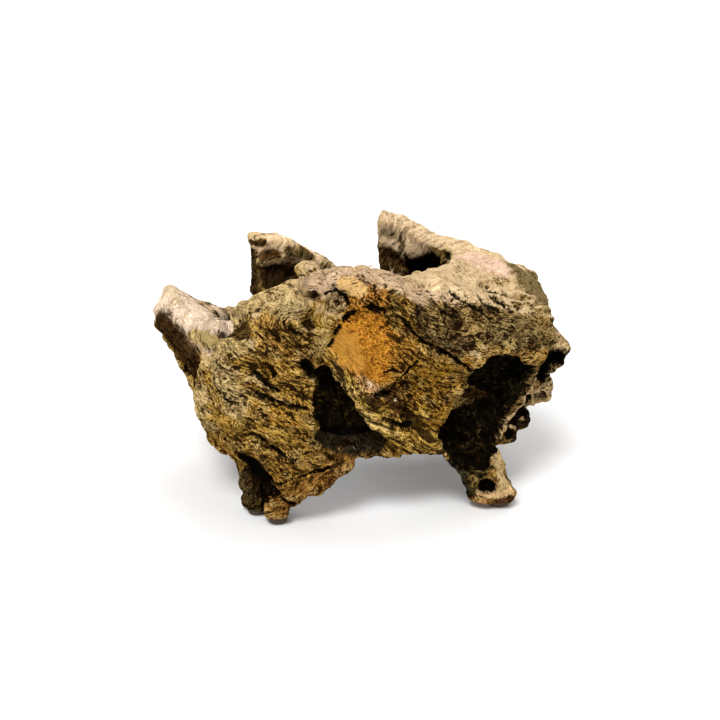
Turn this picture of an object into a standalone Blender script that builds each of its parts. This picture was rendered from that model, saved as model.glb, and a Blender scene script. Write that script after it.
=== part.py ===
"""Driftwood stump cave ornament for an aquarium: resin castings bonded into one hollow stump.

+X is to the right, +Y to the back and +Z up. Lengths in this file are millimetres; `metres` converts
them. An angle in degrees goes round the stump's middle: 0 is the front (-Y), 90 the right side (+X).

The wall of the stump is a loft through seven closed rings. Four climb its outside (sill, belly,
shoulder, rim) and three climb its inside (inner sill, chamber, lip). Each wall casting is the part of
that loft between two seams. Roots and knots are lofts along a path, and each sits with its blind end
in a socket of the wall. Silicone pads carry the weight and pins line up the seams.
"""

import math

import bmesh
import bpy
import numpy as np
from mathutils import Euler, Vector, noise

BOND_GAP = 0.3  # between bonded pieces, filled by glue
COLUMN_STEP = 5.0  # degrees of wall to one column of faces
WALL_ROWS = 10
HORN_SEAM_HEIGHT = 76.0  # the two rear horns stand on the rear wall at this height
BARK_DEPTH = 1.6  # the wall's swells and hollows, either way
BARK_SIZE = 17.0
KNOT_DEPTH = 1.0
KNOT_SIZE = 8.0
LIMB_SIDES = 14
LIMB_RING_STEP = 4.5  # between a limb's rings of faces
LIMB_SQUARENESS = 0.72  # power on the section's sine and cosine: 1 is an ellipse, 0 a rectangle
PAD_HEIGHT = 3.0
PAD_SIDES = 20
PIT_TURN = (0.3, 0.5, 0.7)  # radians, so that no face of a pit lies along an axis
PIT_LUMPS = 0.12  # of a pit's smallest radius
PIN_RADIUS = 1.5
PIN_LENGTH = 11.0
PIN_SIDES = 12

# Rings of the wall, each point as (angle, radius, height).
SILL = [
    (-180, 62, 42), (-158, 66, 38), (-140, 67, 28), (-125, 74, 30), (-98, 74, 28), (-80, 78, 26),
    (-66, 76, 23), (-54, 73, 20), (-42, 76, 16), (-30, 74, 18), (-18, 67, 25), (-6, 62, 29),
    (8, 60, 30), (24, 60, 31.5), (36, 62, 30), (50, 68, 27), (62, 74, 27), (74, 79, 30),
    (90, 82, 36), (110, 76, 30), (124, 70, 28), (140, 68, 32), (158, 64, 40),
]
BELLY = [
    (-180, 70, 52), (-150, 76, 50), (-125, 81, 46), (-98, 86, 46), (-80, 82, 42), (-66, 84, 50),
    (-54, 86, 54), (-42, 85, 57), (-30, 79, 58), (-18, 68, 62), (-6, 62, 66), (6, 63, 68),
    (18, 64, 72), (30, 66, 76), (42, 72, 79), (54, 80, 78), (66, 88, 76), (78, 92, 72),
    (90, 93, 69), (105, 90, 66), (125, 84, 56), (150, 74, 52),
]
SHOULDER = [
    (-180, 66, 62), (-150, 71, 64), (-128, 80, 62), (-112, 88, 66), (-98, 104, 76), (-88, 95, 76),
    (-78, 85, 76), (-66, 78, 78), (-54, 79, 84), (-42, 77, 92), (-30, 71, 97), (-18, 62, 102),
    (-6, 57, 106), (6, 57, 108), (18, 60, 104), (30, 62, 100), (42, 66, 97), (54, 73, 94),
    (66, 82, 89), (78, 89, 83), (87, 92, 84), (97, 90, 95), (112, 84, 99), (126, 77, 98),
    (139, 72, 84), (150, 68, 66), (166, 65, 63),
]
RIM = [
    (-180, 61, 70), (-170.5, 61, 74), (-167, 60, 93), (-155, 63, 100), (-141, 73, 109.5),
    (-131.5, 80, 111), (-128.5, 78, 72), (-116, 81, 74), (-106, 92, 84), (-98, 97, 92), (-88, 88, 88),
    (-78, 78, 86), (-66, 70, 90), (-54, 65, 100), (-44, 62, 108), (-30, 56, 113), (-18, 52, 118),
    (-6, 49, 121), (6, 49, 120), (18, 48, 116), (30, 46, 113), (42, 44, 111), (66, 44, 111),
    (90, 50, 111), (104, 58, 112), (118, 60, 111), (132, 60, 111.5), (140, 60, 113), (150, 63, 116),
    (160, 62, 119.5), (170, 61, 121.5), (173, 61, 72),
]
INNER_SILL = [
    (-180, 50, 46), (-140, 50, 32), (-120, 58, 33), (-90, 56, 30), (-60, 54, 26), (-30, 52, 24),
    (0, 45, 33), (30, 45, 35), (55, 46, 31), (90, 52, 38), (124, 50, 33), (150, 50, 38),
]
CHAMBER = [
    (-180, 57, 56), (-120, 65, 52), (-90, 64, 52), (-60, 58, 56), (-35, 52, 62), (-12, 42, 64),
    (10, 42, 64), (35, 42, 60), (60, 42, 60), (90, 46, 62), (120, 56, 60), (150, 60, 56),
]
LIP = [
    (-180, 51, 68), (-170.5, 51, 72), (-167, 50, 90), (-155, 53, 97), (-141, 60, 107),
    (-131.5, 68, 108), (-128.5, 66, 70), (-116, 66, 71), (-106, 70, 77), (-98, 73, 80), (-88, 70, 80),
    (-78, 60, 80), (-66, 55, 85), (-54, 52, 94), (-44, 50, 103), (-30, 46, 108), (-18, 42, 113),
    (-6, 39, 117), (6, 38, 116), (18, 38, 113), (30, 37, 111), (60, 36, 110), (90, 41, 109),
    (118, 50, 108), (140, 50, 110), (150, 51, 113), (160, 51, 116), (170, 51, 118), (173, 51, 70),
]

# Seams between wall castings, each as (share of the way from sill to rim, angle). The two beside the
# scar follow the cracks in the bark.
LEFT_REAR_SEAM = [(0, -119), (1, -119)]
LEFT_FRONT_SEAM = [(0, -78), (0.35, -82), (1, -79)]
SCAR_LEFT_SEAM = [(0, -4), (0.28, -10), (0.46, -16), (0.6, -15), (0.75, -12), (1, -19)]
SCAR_RIGHT_SEAM = [(0, 36), (0.15, 41), (0.33, 44), (0.45, 35), (0.68, 20), (1, 19)]
RIGHT_REAR_SEAM = [(0, 92), (1, 92)]
REAR_RIGHT_SEAM = [(0, 141), (1, 141)]
REAR_LEFT_SEAM = [(0, 241), (1, 241)]
HORN_RIGHT_END = [(0, 170), (1, 169.5)]
HORN_LEFT_START = [(0, 192), (1, 193)]
HORN_LEFT_END = [(0, 228), (1, 228)]

# Roots and knots: stations of a limb as (x, y, z, half width, half depth).
LIMBS = {
    "front_left_toe": [
        (-3, -52, 34, 4, 6), (-13, -55, 27, 6.5, 8), (-23, -56, 19.5, 7.5, 9), (-33, -57, 13.5, 7, 9),
        (-38.5, -60, 8.5, 6.5, 7.5), (-38.5, -60, 3.3, 5.5, 6.5),
    ],
    "front_left_heel": [
        (-46, -47, 26, 9, 9), (-47, -49, 17, 8.5, 9), (-49, -51, 9, 6.5, 8), (-49, -51, 3.3, 5, 6.5),
    ],
    "front_right_foot": [
        (51, -44, 37, 12, 8), (52, -46, 29, 13.5, 9), (56, -45, 22, 12, 8.5), (60, -43, 13, 11, 8),
        (63, -42, 7, 11.3, 8.5), (63, -42, 3.3, 11.3, 8),
    ],
    "rear_right_foot": [
        (52, 33, 38, 10, 9), (54, 34, 28, 13, 11), (57, 36, 17, 10.5, 9.5), (59, 38, 9, 10.5, 9.5),
        (59, 38, 3.3, 10, 9),
    ],
    "rear_left_foot": [
        (-44, 42, 38, 10, 9), (-46, 44, 28, 14, 11.5), (-50, 47, 17, 11.5, 10), (-52, 49, 9, 11, 9.5),
        (-52, 49, 3.3, 11, 9),
    ],
    "right_upper_knot": [
        (84, -8, 70, 8, 8), (91, -7, 67.5, 10, 10), (97, -6, 65, 9, 9), (101, -6, 64, 5.5, 6),
    ],
    "right_middle_knot": [
        (76, -14, 55, 7, 7), (83, -14, 51, 10, 9), (89, -13, 48, 8.5, 8), (93, -13, 46.5, 5, 5),
    ],
    "right_lower_knot": [
        (66, -26, 45, 6, 6), (73, -24, 40.5, 7.5, 7.5), (78, -23, 37.5, 6.5, 6), (82, -23, 36, 3.5, 4),
    ],
    "right_lowest_knot": [
        (61, -34, 39, 5.5, 5), (67, -31, 35, 6.5, 6.5), (72, -30, 31.5, 6, 5.5), (75.5, -30, 30, 3, 3.5),
    ],
    "right_rim_lobe": [(70, 28, 78, 9, 9), (77, 27, 87, 12, 10), (82, 26, 94, 10, 9), (84, 26, 98, 8, 7)],
    "rim_stub": [
        (-22, -40, 100, 5, 4.5), (-22.5, -40, 108, 5.5, 5), (-23, -40, 115, 5, 5), (-23.5, -40, 119, 3.5, 4),
    ],
}
PALE_LIMBS = ("rim_stub", "right_rim_lobe")
SOCKETS = {  # the pieces that each root or knot is set into
    "front_left_toe": ["front_left_lobe", "front_scar_wall"],
    "front_left_heel": ["front_left_lobe", "front_left_toe"],
    "front_right_foot": ["front_right_lobe", "front_scar_wall"],
    "rear_right_foot": ["right_rear_wall"],
    "rear_left_foot": ["rear_wall"],
    "right_upper_knot": ["front_right_lobe"],
    "right_middle_knot": ["front_right_lobe", "right_upper_knot"],
    "right_lower_knot": ["front_right_lobe", "right_middle_knot"],
    "right_lowest_knot": ["front_right_lobe", "front_right_foot", "right_lower_knot"],
    "right_rim_lobe": ["right_rear_wall"],
    "rim_stub": ["front_left_lobe"],
}

# Caves as stations like a limb's, with the castings that they cut.
CAVES = {
    "overhang_cave": (
        [(66, -56, 78, 10, 14), (66, -52, 66, 19, 23), (60, -52, 54, 20, 20), (54, -52, 43, 18, 18),
         (55, -55, 32, 12, 12), (59, -56, 23, 6, 9)],
        ["front_right_lobe", "front_scar_wall", "front_right_foot"],
    ),
    "nostril_cave": (
        [(-15, -66, 76, 3, 6), (-14, -64, 68, 6, 12), (-11, -63, 59, 10, 16), (-9, -63, 51, 12, 15),
         (-3, -66, 41, 16, 10), (0, -67, 28, 18, 8)],
        ["front_left_lobe", "front_scar_wall"],
    ),
}
PITS = {  # uneven balls: centre, radii, casting
    "flare_notch": ((-64, -34, 88), (6, 9, 5), "front_left_lobe"),
    "shoulder_pit_left": ((31, -54, 104), (5, 6, 5), "front_scar_wall"),
    "shoulder_pit_right": ((43, -50, 99), (5, 6, 6), "front_right_lobe"),
    "foot_window": ((60, -52, 12), (6, 8, 4.5), "front_right_foot"),
    "upper_knot_hole": ((97, -16, 60), (6, 9, 7), "right_upper_knot"),
    "middle_knot_hole": ((88, -22, 44), (4, 7, 5), "right_middle_knot"),
}

PADS = {  # pad under each root: x, y, radius
    "front_left_toe": (-38.5, -60, 4.5),
    "front_left_heel": (-49, -51, 4.2),
    "front_right": (67, -42, 5),
    "rear_right": (59, 38, 6),
    "rear_left": (-52, 49, 6),
}

FINISHES = {  # colour and roughness
    "weathered_resin": ((0.22, 0.13, 0.04), 0.85),
    "ochre_resin": ((0.40, 0.18, 0.03), 0.85),
    "pale_resin": ((0.60, 0.45, 0.30), 0.9),
    "dark_resin": ((0.10, 0.06, 0.03), 0.9),
    "silicone": ((0.05, 0.03, 0.02), 0.6),
    "acrylic": ((0.75, 0.78, 0.80), 0.1),
}


def metres(*lengths):
    return Vector([length * 0.001 for length in lengths])


class Ring:
    """A closed curve round the stump through (angle, radius, height) points, never past them."""

    def __init__(self, points):
        table = np.array(points, float)
        before, after = table[-2:] - (360, 0, 0), table[:2] + (360, 0, 0)
        wrapped = np.concatenate([before, table, after])
        self.angles, self.values = wrapped[:, 0], wrapped[:, 1:]
        slopes = np.diff(self.values, axis=0) / np.diff(self.angles)[:, None]
        left, right = slopes[:-1], slopes[1:]
        same_way = left * right > 0
        total = np.where(same_way, left + right, 1)
        tangents = np.where(same_way, 2 * left * right / total, 0)
        self.tangents = np.concatenate([slopes[:1], tangents, slopes[-1:]])

    def at(self, angle):
        """(radius, height) at this angle, by a Hermite cubic between the two nearest points."""
        angle = (angle + 180) % 360 - 180
        i = int(np.clip(np.searchsorted(self.angles, angle) - 1, 0, len(self.angles) - 2))
        span = self.angles[i + 1] - self.angles[i]
        s = (angle - self.angles[i]) / span
        return (
            (2 * s**3 - 3 * s**2 + 1) * self.values[i]
            + (s**3 - 2 * s**2 + s) * span * self.tangents[i]
            + (3 * s**2 - 2 * s**3) * self.values[i + 1]
            + (s**3 - s**2) * span * self.tangents[i + 1]
        )


OUTSIDE = [Ring(points) for points in (SILL, BELLY, SHOULDER, RIM)]
INSIDE = [Ring(points) for points in (INNER_SILL, CHAMBER, LIP)]


def catmull_rom(points, share):
    """The point at this share of the way along a smooth curve through the points."""
    points = np.array(points, float)
    place = min(max(share, 0), 1) * (len(points) - 1)
    i = min(int(place), len(points) - 2)
    s = place - i
    before = points[i - 1] if i > 0 else 2 * points[0] - points[1]
    after = points[i + 2] if i + 2 < len(points) else 2 * points[-1] - points[-2]
    a, b = points[i], points[i + 1]
    return 0.5 * (
        2 * a + (b - before) * s + (2 * before - 5 * a + 4 * b - after) * s**2
        + (3 * a - before - 3 * b + after) * s**3
    )


def swell(x, y, z, depth, size):
    """How far the surface swells out here, from smooth noise in space."""
    return depth * noise.fractal(Vector((x, y, z)) / size, 0.9, 2.0, 2)


def wall_section(rings, angle, share):
    """(radius, height) on the wall's outside or inside, this share of the way up."""
    return catmull_rom([ring.at(angle) for ring in rings], share)


def share_at_height(rings, angle, height):
    """The share of the way up where the wall passes a height, or 1 where it stays lower."""
    low, high = 0.0, 1.0
    if wall_section(rings, angle, high)[1] <= height:
        return high
    for _ in range(30):
        middle = (low + high) / 2
        if wall_section(rings, angle, middle)[1] < height:
            low = middle
        else:
            high = middle
    return high


def wall_point(rings, angle, share, sideways=0.0, upward=0.0):
    """A point of the wall in metres, moved sideways and up from its place by small distances."""
    radius, height = wall_section(rings, angle, share)
    turn = math.radians(angle)
    bark = swell(radius * math.sin(turn), -radius * math.cos(turn), height, BARK_DEPTH, BARK_SIZE)
    turn += sideways / radius
    radius += bark
    return metres(radius * math.sin(turn), -radius * math.cos(turn), height + upward)


def seam_angle(seam, share):
    shares, angles = zip(*seam)
    return float(np.interp(share, shares, angles))


def finish_material(finish):
    colour, roughness = FINISHES[finish]
    material = bpy.data.materials.get(finish) or bpy.data.materials.new(finish)
    material.use_nodes = True
    shader = material.node_tree.nodes["Principled BSDF"]
    shader.inputs["Base Color"].default_value = (*colour, 1)
    shader.inputs["Roughness"].default_value = roughness
    shader.inputs["Metallic"].default_value = 0
    return material


def new_object(name, mesh):
    """An object that moves with the ornament's empty."""
    obj = bpy.data.objects.new(name, mesh)
    bpy.context.scene.collection.objects.link(obj)
    obj.parent = bpy.data.objects["ornament"]
    return obj


def new_piece(name, mesh, finish):
    mesh.materials.append(finish_material(finish))
    mesh.shade_smooth()
    mesh.set_sharp_from_angle(angle=math.radians(40))
    return new_object(name, mesh)


def finished_mesh(name, shape):
    bmesh.ops.recalc_face_normals(shape, faces=shape.faces)
    mesh = bpy.data.meshes.new(name)
    shape.to_mesh(mesh)
    shape.free()
    return mesh


def wall_casting(name, start, end, finish, bottom=None, top=None):
    """One casting of the wall between two seams and, where given, a flat bond at a bottom or top height."""
    span = seam_angle(end, 0.5) - seam_angle(start, 0.5)
    columns = max(3, round(span / COLUMN_STEP))
    shape = bmesh.new()
    grids = []
    for rings in (OUTSIDE, INSIDE):
        grid = []
        for column in range(columns + 1):
            across = column / columns
            middle = seam_angle(start, 0.5) * (1 - across) + seam_angle(end, 0.5) * across
            low = share_at_height(rings, middle, bottom) if bottom else 0.0
            high = share_at_height(rings, middle, top) if top else 1.0
            sideways = BOND_GAP / 2 * ((column == 0) - (column == columns))
            strip = []
            for row in range(WALL_ROWS):
                share = low + (high - low) * row / (WALL_ROWS - 1)
                angle = seam_angle(start, share) * (1 - across) + seam_angle(end, share) * across
                upward = BOND_GAP / 2 if bottom and row == 0 else 0.0
                if high < 1 and row == WALL_ROWS - 1:
                    upward = -BOND_GAP / 2
                strip.append(shape.verts.new(wall_point(rings, angle, share, sideways, upward)))
            grid.append(strip)
        grids.append(grid)
    outer, inner = grids
    for column in range(columns):
        for grid in grids:
            for row in range(WALL_ROWS - 1):
                shape.faces.new((
                    grid[column][row], grid[column + 1][row], grid[column + 1][row + 1], grid[column][row + 1]
                ))
        for row in (0, WALL_ROWS - 1):
            shape.faces.new((
                outer[column][row], outer[column + 1][row], inner[column + 1][row], inner[column][row]
            ))
    for column in (0, columns):  # the two faces of a seam split their quads alike, so they match
        for row in range(WALL_ROWS - 1):
            shape.faces.new((outer[column][row], outer[column][row + 1], inner[column][row + 1]))
            shape.faces.new((outer[column][row], inner[column][row + 1], inner[column][row]))
    new_piece(name, finished_mesh(name, shape), finish)


def squared(value):
    return math.copysign(abs(value) ** LIMB_SQUARENESS, value)


def limb_rings(stations):
    """Stations at even steps along the path."""
    fine = np.array([catmull_rom(stations, i / 100) for i in range(101)])
    steps = np.linalg.norm(np.diff(fine[:, :3], axis=0), axis=1)
    travelled = np.concatenate([[0], np.cumsum(steps)])
    count = max(4, round(travelled[-1] / LIMB_RING_STEP))
    even = np.linspace(0, travelled[-1], count + 1)
    return np.stack([np.interp(even, travelled, column) for column in fine.T], axis=1)


def limb_mesh(name, stations, grow=0.0):
    """A closed loft with a rounded section along a path. `grow` makes a socket's slightly larger copy.

    The sections turn evenly from square to the path's start to square to its end. Triangles keep the
    faces of a limb and of its socket alike.
    """
    path = limb_rings(stations)
    corners = [Vector(station[:3]) for station in stations]
    first_way = (corners[1] - corners[0]).normalized()
    last_way = (corners[-1] - corners[-2]).normalized()
    shape = bmesh.new()
    loops = []
    for i, station in enumerate(path):
        along = first_way.lerp(last_way, i / (len(path) - 1)).normalized()
        deep = Vector((0, 1, 0)) - along * along.y
        deep.normalize()
        wide = deep.cross(along)
        at_end = (i == len(path) - 1) - (i == 0)
        loop = []
        for side in range(LIMB_SIDES):
            turn = 2 * math.pi * side / LIMB_SIDES
            spoke = wide * squared(math.cos(turn)) * station[3] + deep * squared(math.sin(turn)) * station[4]
            place = Vector(station[:3]) + spoke
            lump = 0.0 if at_end else swell(*place, KNOT_DEPTH, KNOT_SIZE)
            place += spoke.normalized() * (lump + grow) + along * at_end * grow
            loop.append(shape.verts.new(metres(*place)))
        loops.append(loop)
    for first, second in zip(loops, loops[1:]):
        for side in range(LIMB_SIDES):
            following = (side + 1) % LIMB_SIDES
            shape.faces.new((first[side], first[following], second[following]))
            shape.faces.new((first[side], second[following], second[side]))
    shape.faces.new(loops[0])
    shape.faces.new(loops[-1])
    return finished_mesh(name, shape)


def new_cutter(name, mesh):
    cutter = new_object(name, mesh)
    cutter.hide_render = True
    cutter.display_type = "WIRE"
    return cutter


def cut(obj, cutter):
    modifier = obj.modifiers.new(cutter.name, "BOOLEAN")
    modifier.operation = "DIFFERENCE"
    modifier.solver = "EXACT"
    modifier.object = cutter


def limbs():
    """Roots and knots, each with its blind end in sockets of its neighbours."""
    for name, stations in LIMBS.items():
        finish = "pale_resin" if name in PALE_LIMBS else "weathered_resin"
        new_piece(name, limb_mesh(name, stations), finish)
    for name, neighbours in SOCKETS.items():
        cutter = new_cutter("socket_" + name, limb_mesh("socket_" + name, LIMBS[name], BOND_GAP))
        for neighbour in neighbours:
            cut(bpy.data.objects[neighbour], cutter)


def pit_mesh(name, centre, radii):
    shape = bmesh.new()
    bmesh.ops.create_icosphere(shape, subdivisions=2, radius=1)
    askew = Euler(PIT_TURN).to_matrix()
    for vert in shape.verts:
        outward = askew @ vert.co
        place = Vector([c + v * r for c, v, r in zip(centre, outward, radii)])
        lump = swell(*place, PIT_LUMPS * min(radii), 0.8 * max(radii))
        vert.co = metres(*(place + outward * lump))
    return finished_mesh(name, shape)


def hollows():
    """The caves and pits, cut out of their castings."""
    cutters = []
    for name, (stations, castings) in CAVES.items():
        cutters.append((new_cutter(name, limb_mesh(name, stations)), castings))
    for name, (centre, radii, casting) in PITS.items():
        cutters.append((new_cutter(name, pit_mesh(name, centre, radii)), [casting]))
    for cutter, castings in cutters:
        for casting in castings:
            cut(bpy.data.objects[casting], cutter)


def pads():
    """Silicone pads: a flat face to stand on, with a rounded lower edge, under each root."""
    for name, (x, y, radius) in PADS.items():
        profile = [
            (0, 0), (radius - 1, 0), (radius - 0.3, 0.3), (radius, 1), (radius, PAD_HEIGHT - 0.3),
            (radius - 0.3, PAD_HEIGHT), (0, PAD_HEIGHT),
        ]
        shape = bmesh.new()
        verts = [shape.verts.new(metres(r, 0, z)) for r, z in profile]
        edges = [shape.edges.new(pair) for pair in zip(verts, verts[1:])]
        bmesh.ops.spin(
            shape, geom=verts + edges, cent=(0, 0, 0), axis=(0, 0, 1), angle=2 * math.pi,
            steps=PAD_SIDES, use_duplicate=False,
        )
        bmesh.ops.remove_doubles(shape, verts=shape.verts, dist=1e-6)
        pad = new_piece("foot_pad_" + name, finished_mesh("foot_pad_" + name, shape), "silicone")
        pad.location = metres(x, y, 0)


def cylinder_mesh(name, radius, length):
    shape = bmesh.new()
    bmesh.ops.create_cone(
        shape, cap_ends=True, segments=PIN_SIDES, radius1=radius * 0.001, radius2=radius * 0.001,
        depth=length * 0.001,
    )
    return finished_mesh(name, shape)


def pin(name, centre, direction, castings):
    """An acrylic pin across a seam, in a blind bore of each casting."""
    turn = Vector(direction).to_track_quat("Z", "Y")
    bore_mesh = cylinder_mesh("bore_" + name, PIN_RADIUS + BOND_GAP, PIN_LENGTH + 2 * BOND_GAP)
    bore = new_cutter("bore_" + name, bore_mesh)
    rod = new_piece(name, cylinder_mesh(name, PIN_RADIUS, PIN_LENGTH), "acrylic")
    for obj in (bore, rod):
        obj.location = metres(*centre)
        obj.rotation_mode = "QUATERNION"
        obj.rotation_quaternion = turn
    for casting in castings:
        cut(bpy.data.objects[casting], bore)


def seam_pins():
    """Two pins across each upright seam, and two under each rear horn, in the middle of the wall."""
    seams = {
        "left_rear": (LEFT_REAR_SEAM, "rear_wall", "left_flare", (0.2, 0.7)),
        "left_front": (LEFT_FRONT_SEAM, "left_flare", "front_left_lobe", (0.2, 0.75)),
        "scar_left": (SCAR_LEFT_SEAM, "front_left_lobe", "front_scar_wall", (0.52, 0.8)),
        "scar_right": (SCAR_RIGHT_SEAM, "front_scar_wall", "front_right_lobe", (0.56, 0.85)),
        "right_rear": (RIGHT_REAR_SEAM, "front_right_lobe", "right_rear_wall", (0.2, 0.7)),
        "rear_right": (REAR_RIGHT_SEAM, "right_rear_wall", "rear_wall", (0.15, 0.45)),
    }
    for name, (seam, first, second, shares) in seams.items():
        for place, share in zip(("lower", "upper"), shares):
            angle = seam_angle(seam, share)
            outer, inner = wall_section(OUTSIDE, angle, share), wall_section(INSIDE, angle, share)
            radius, height = (outer + inner) / 2
            turn = math.radians(angle)
            centre = (radius * math.sin(turn), -radius * math.cos(turn), height)
            direction = (math.cos(turn), math.sin(turn), 0)
            pin(f"pin_{name}_{place}", centre, direction, (first, second))
    for horn, angles in {"rear_right_horn": (150, 162), "rear_left_horn": (200, 218)}.items():
        for place, angle in zip("ab", angles):
            middle = []
            for rings in (OUTSIDE, INSIDE):
                middle.append(wall_section(rings, angle, share_at_height(rings, angle, HORN_SEAM_HEIGHT))[0])
            turn, radius = math.radians(angle), sum(middle) / 2
            centre = (radius * math.sin(turn), -radius * math.cos(turn), HORN_SEAM_HEIGHT)
            pin(f"pin_{horn}_{place}", centre, (0, 0, 1), ("rear_wall", horn))


def walls():
    rear = HORN_SEAM_HEIGHT
    wall_casting("left_flare", LEFT_REAR_SEAM, LEFT_FRONT_SEAM, "pale_resin")
    wall_casting("front_left_lobe", LEFT_FRONT_SEAM, SCAR_LEFT_SEAM, "weathered_resin")
    wall_casting("front_scar_wall", SCAR_LEFT_SEAM, SCAR_RIGHT_SEAM, "ochre_resin")
    wall_casting("front_right_lobe", SCAR_RIGHT_SEAM, RIGHT_REAR_SEAM, "weathered_resin")
    wall_casting("right_rear_wall", RIGHT_REAR_SEAM, REAR_RIGHT_SEAM, "weathered_resin")
    wall_casting("rear_wall", REAR_RIGHT_SEAM, REAR_LEFT_SEAM, "dark_resin", top=rear)
    wall_casting("rear_right_horn", REAR_RIGHT_SEAM, HORN_RIGHT_END, "pale_resin", bottom=rear)
    wall_casting("rear_left_horn", HORN_LEFT_START, HORN_LEFT_END, "pale_resin", bottom=rear)


def centre_on_origin():
    """Moves the ornament so that the origin is under the middle of its box, on the surface it stands on."""
    bpy.context.view_layer.update()
    graph = bpy.context.evaluated_depsgraph_get()
    corners = []
    for obj in bpy.context.scene.objects:
        if obj.type == "MESH" and not obj.hide_render:
            evaluated = obj.evaluated_get(graph)
            corners += [evaluated.matrix_world @ vert.co for vert in evaluated.data.vertices]
    corners = np.array(corners)
    low, high = corners.min(axis=0), corners.max(axis=0)
    bpy.data.objects["ornament"].location = (-(low[0] + high[0]) / 2, -(low[1] + high[1]) / 2, -low[2])


def main():
    for obj in list(bpy.data.objects):
        bpy.data.objects.remove(obj)
    ornament = bpy.data.objects.new("ornament", None)
    bpy.context.scene.collection.objects.link(ornament)
    walls()
    limbs()
    hollows()
    pads()
    seam_pins()
    centre_on_origin()


main()
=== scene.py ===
"""Looks of the driftwood stump cave ornament.

Every wood casting of the CAD frame is copied, remeshed finely and carved. Its surface is first eased
onto one smooth skin over all castings, so that neighbours meet at hairline bonds. The skin is modelled
with lumps, hollows and ridges, and each casting then gets furrows, pits and cracks. Grain, which the
carving and the paint follow, slopes round the stump, runs along its ridges and goes round its knots.
Each vertex keeps what the paint needs: grain coordinates, a tint with painted light and shade, wear,
how torn the wood is, and how near the next crack, hole and black cavity are, all painted black as shade.

Lengths are millimetres until a mesh is written. An angle goes round the stump: 0 is the front (-Y)
and 90 the right side (+X). A mark is a line through places near the wood, which are laid on the skin.
"""

import functools
import itertools
import math

import bpy
import numpy as np
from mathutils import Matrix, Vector
from mathutils.bvhtree import BVHTree


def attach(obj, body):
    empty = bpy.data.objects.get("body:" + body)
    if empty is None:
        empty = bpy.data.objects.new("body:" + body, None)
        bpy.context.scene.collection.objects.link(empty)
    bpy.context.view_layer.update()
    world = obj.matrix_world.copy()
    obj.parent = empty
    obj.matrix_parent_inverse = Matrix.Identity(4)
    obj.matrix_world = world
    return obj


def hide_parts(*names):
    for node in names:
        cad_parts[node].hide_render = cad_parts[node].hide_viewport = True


CASTINGS = [
    "left_flare", "front_left_lobe", "front_scar_wall", "front_right_lobe", "right_rear_wall",
    "rear_wall", "rear_left_horn", "rear_right_horn", "front_left_toe", "front_left_heel",
    "front_right_foot", "rear_right_foot", "rear_left_foot", "right_upper_knot",
    "right_middle_knot", "right_lower_knot", "right_lowest_knot", "right_rim_lobe", "rim_stub",
]
MM = 0.001

# --- lines that several tables use ------------------------------------------------------------------

FLARE_HOLLOW = [(-66, -38, 84), (-59, -46, 90), (-55, -54, 92)]
FLARE_RIDGE = [(-58, -42, 97), (-50, -46, 101), (-43, -48, 106), (-34, -51, 110)]
UNDER_FLARE = [(-80, -20, 78), (-72, -32, 80), (-60, -50, 84), (-51, -60, 86)]
LEFT_VALLEY = [(-48, -65, 78), (-38, -67, 72), (-27, -66, 66)]
LEFT_LOW_VALLEY = [(-56, -62, 44), (-46, -67, 42), (-37, -68, 37)]
SCAR_FOOT = [(-1, -62, 70), (6, -64, 66)]
LEDGE = [(50, -53, 77), (60, -50, 78), (72, -42, 76), (84, -30, 74)]
BEVEL_TOP = [(54, 3, 110), (62, 5, 108), (70, 6, 105)]
RIGHT_SHOULDER = [(80, 12, 102), (84, 5, 97), (89, 4, 92), (89, 18, 95)]

# --- the wood's features ----------------------------------------------------------------------------

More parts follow.
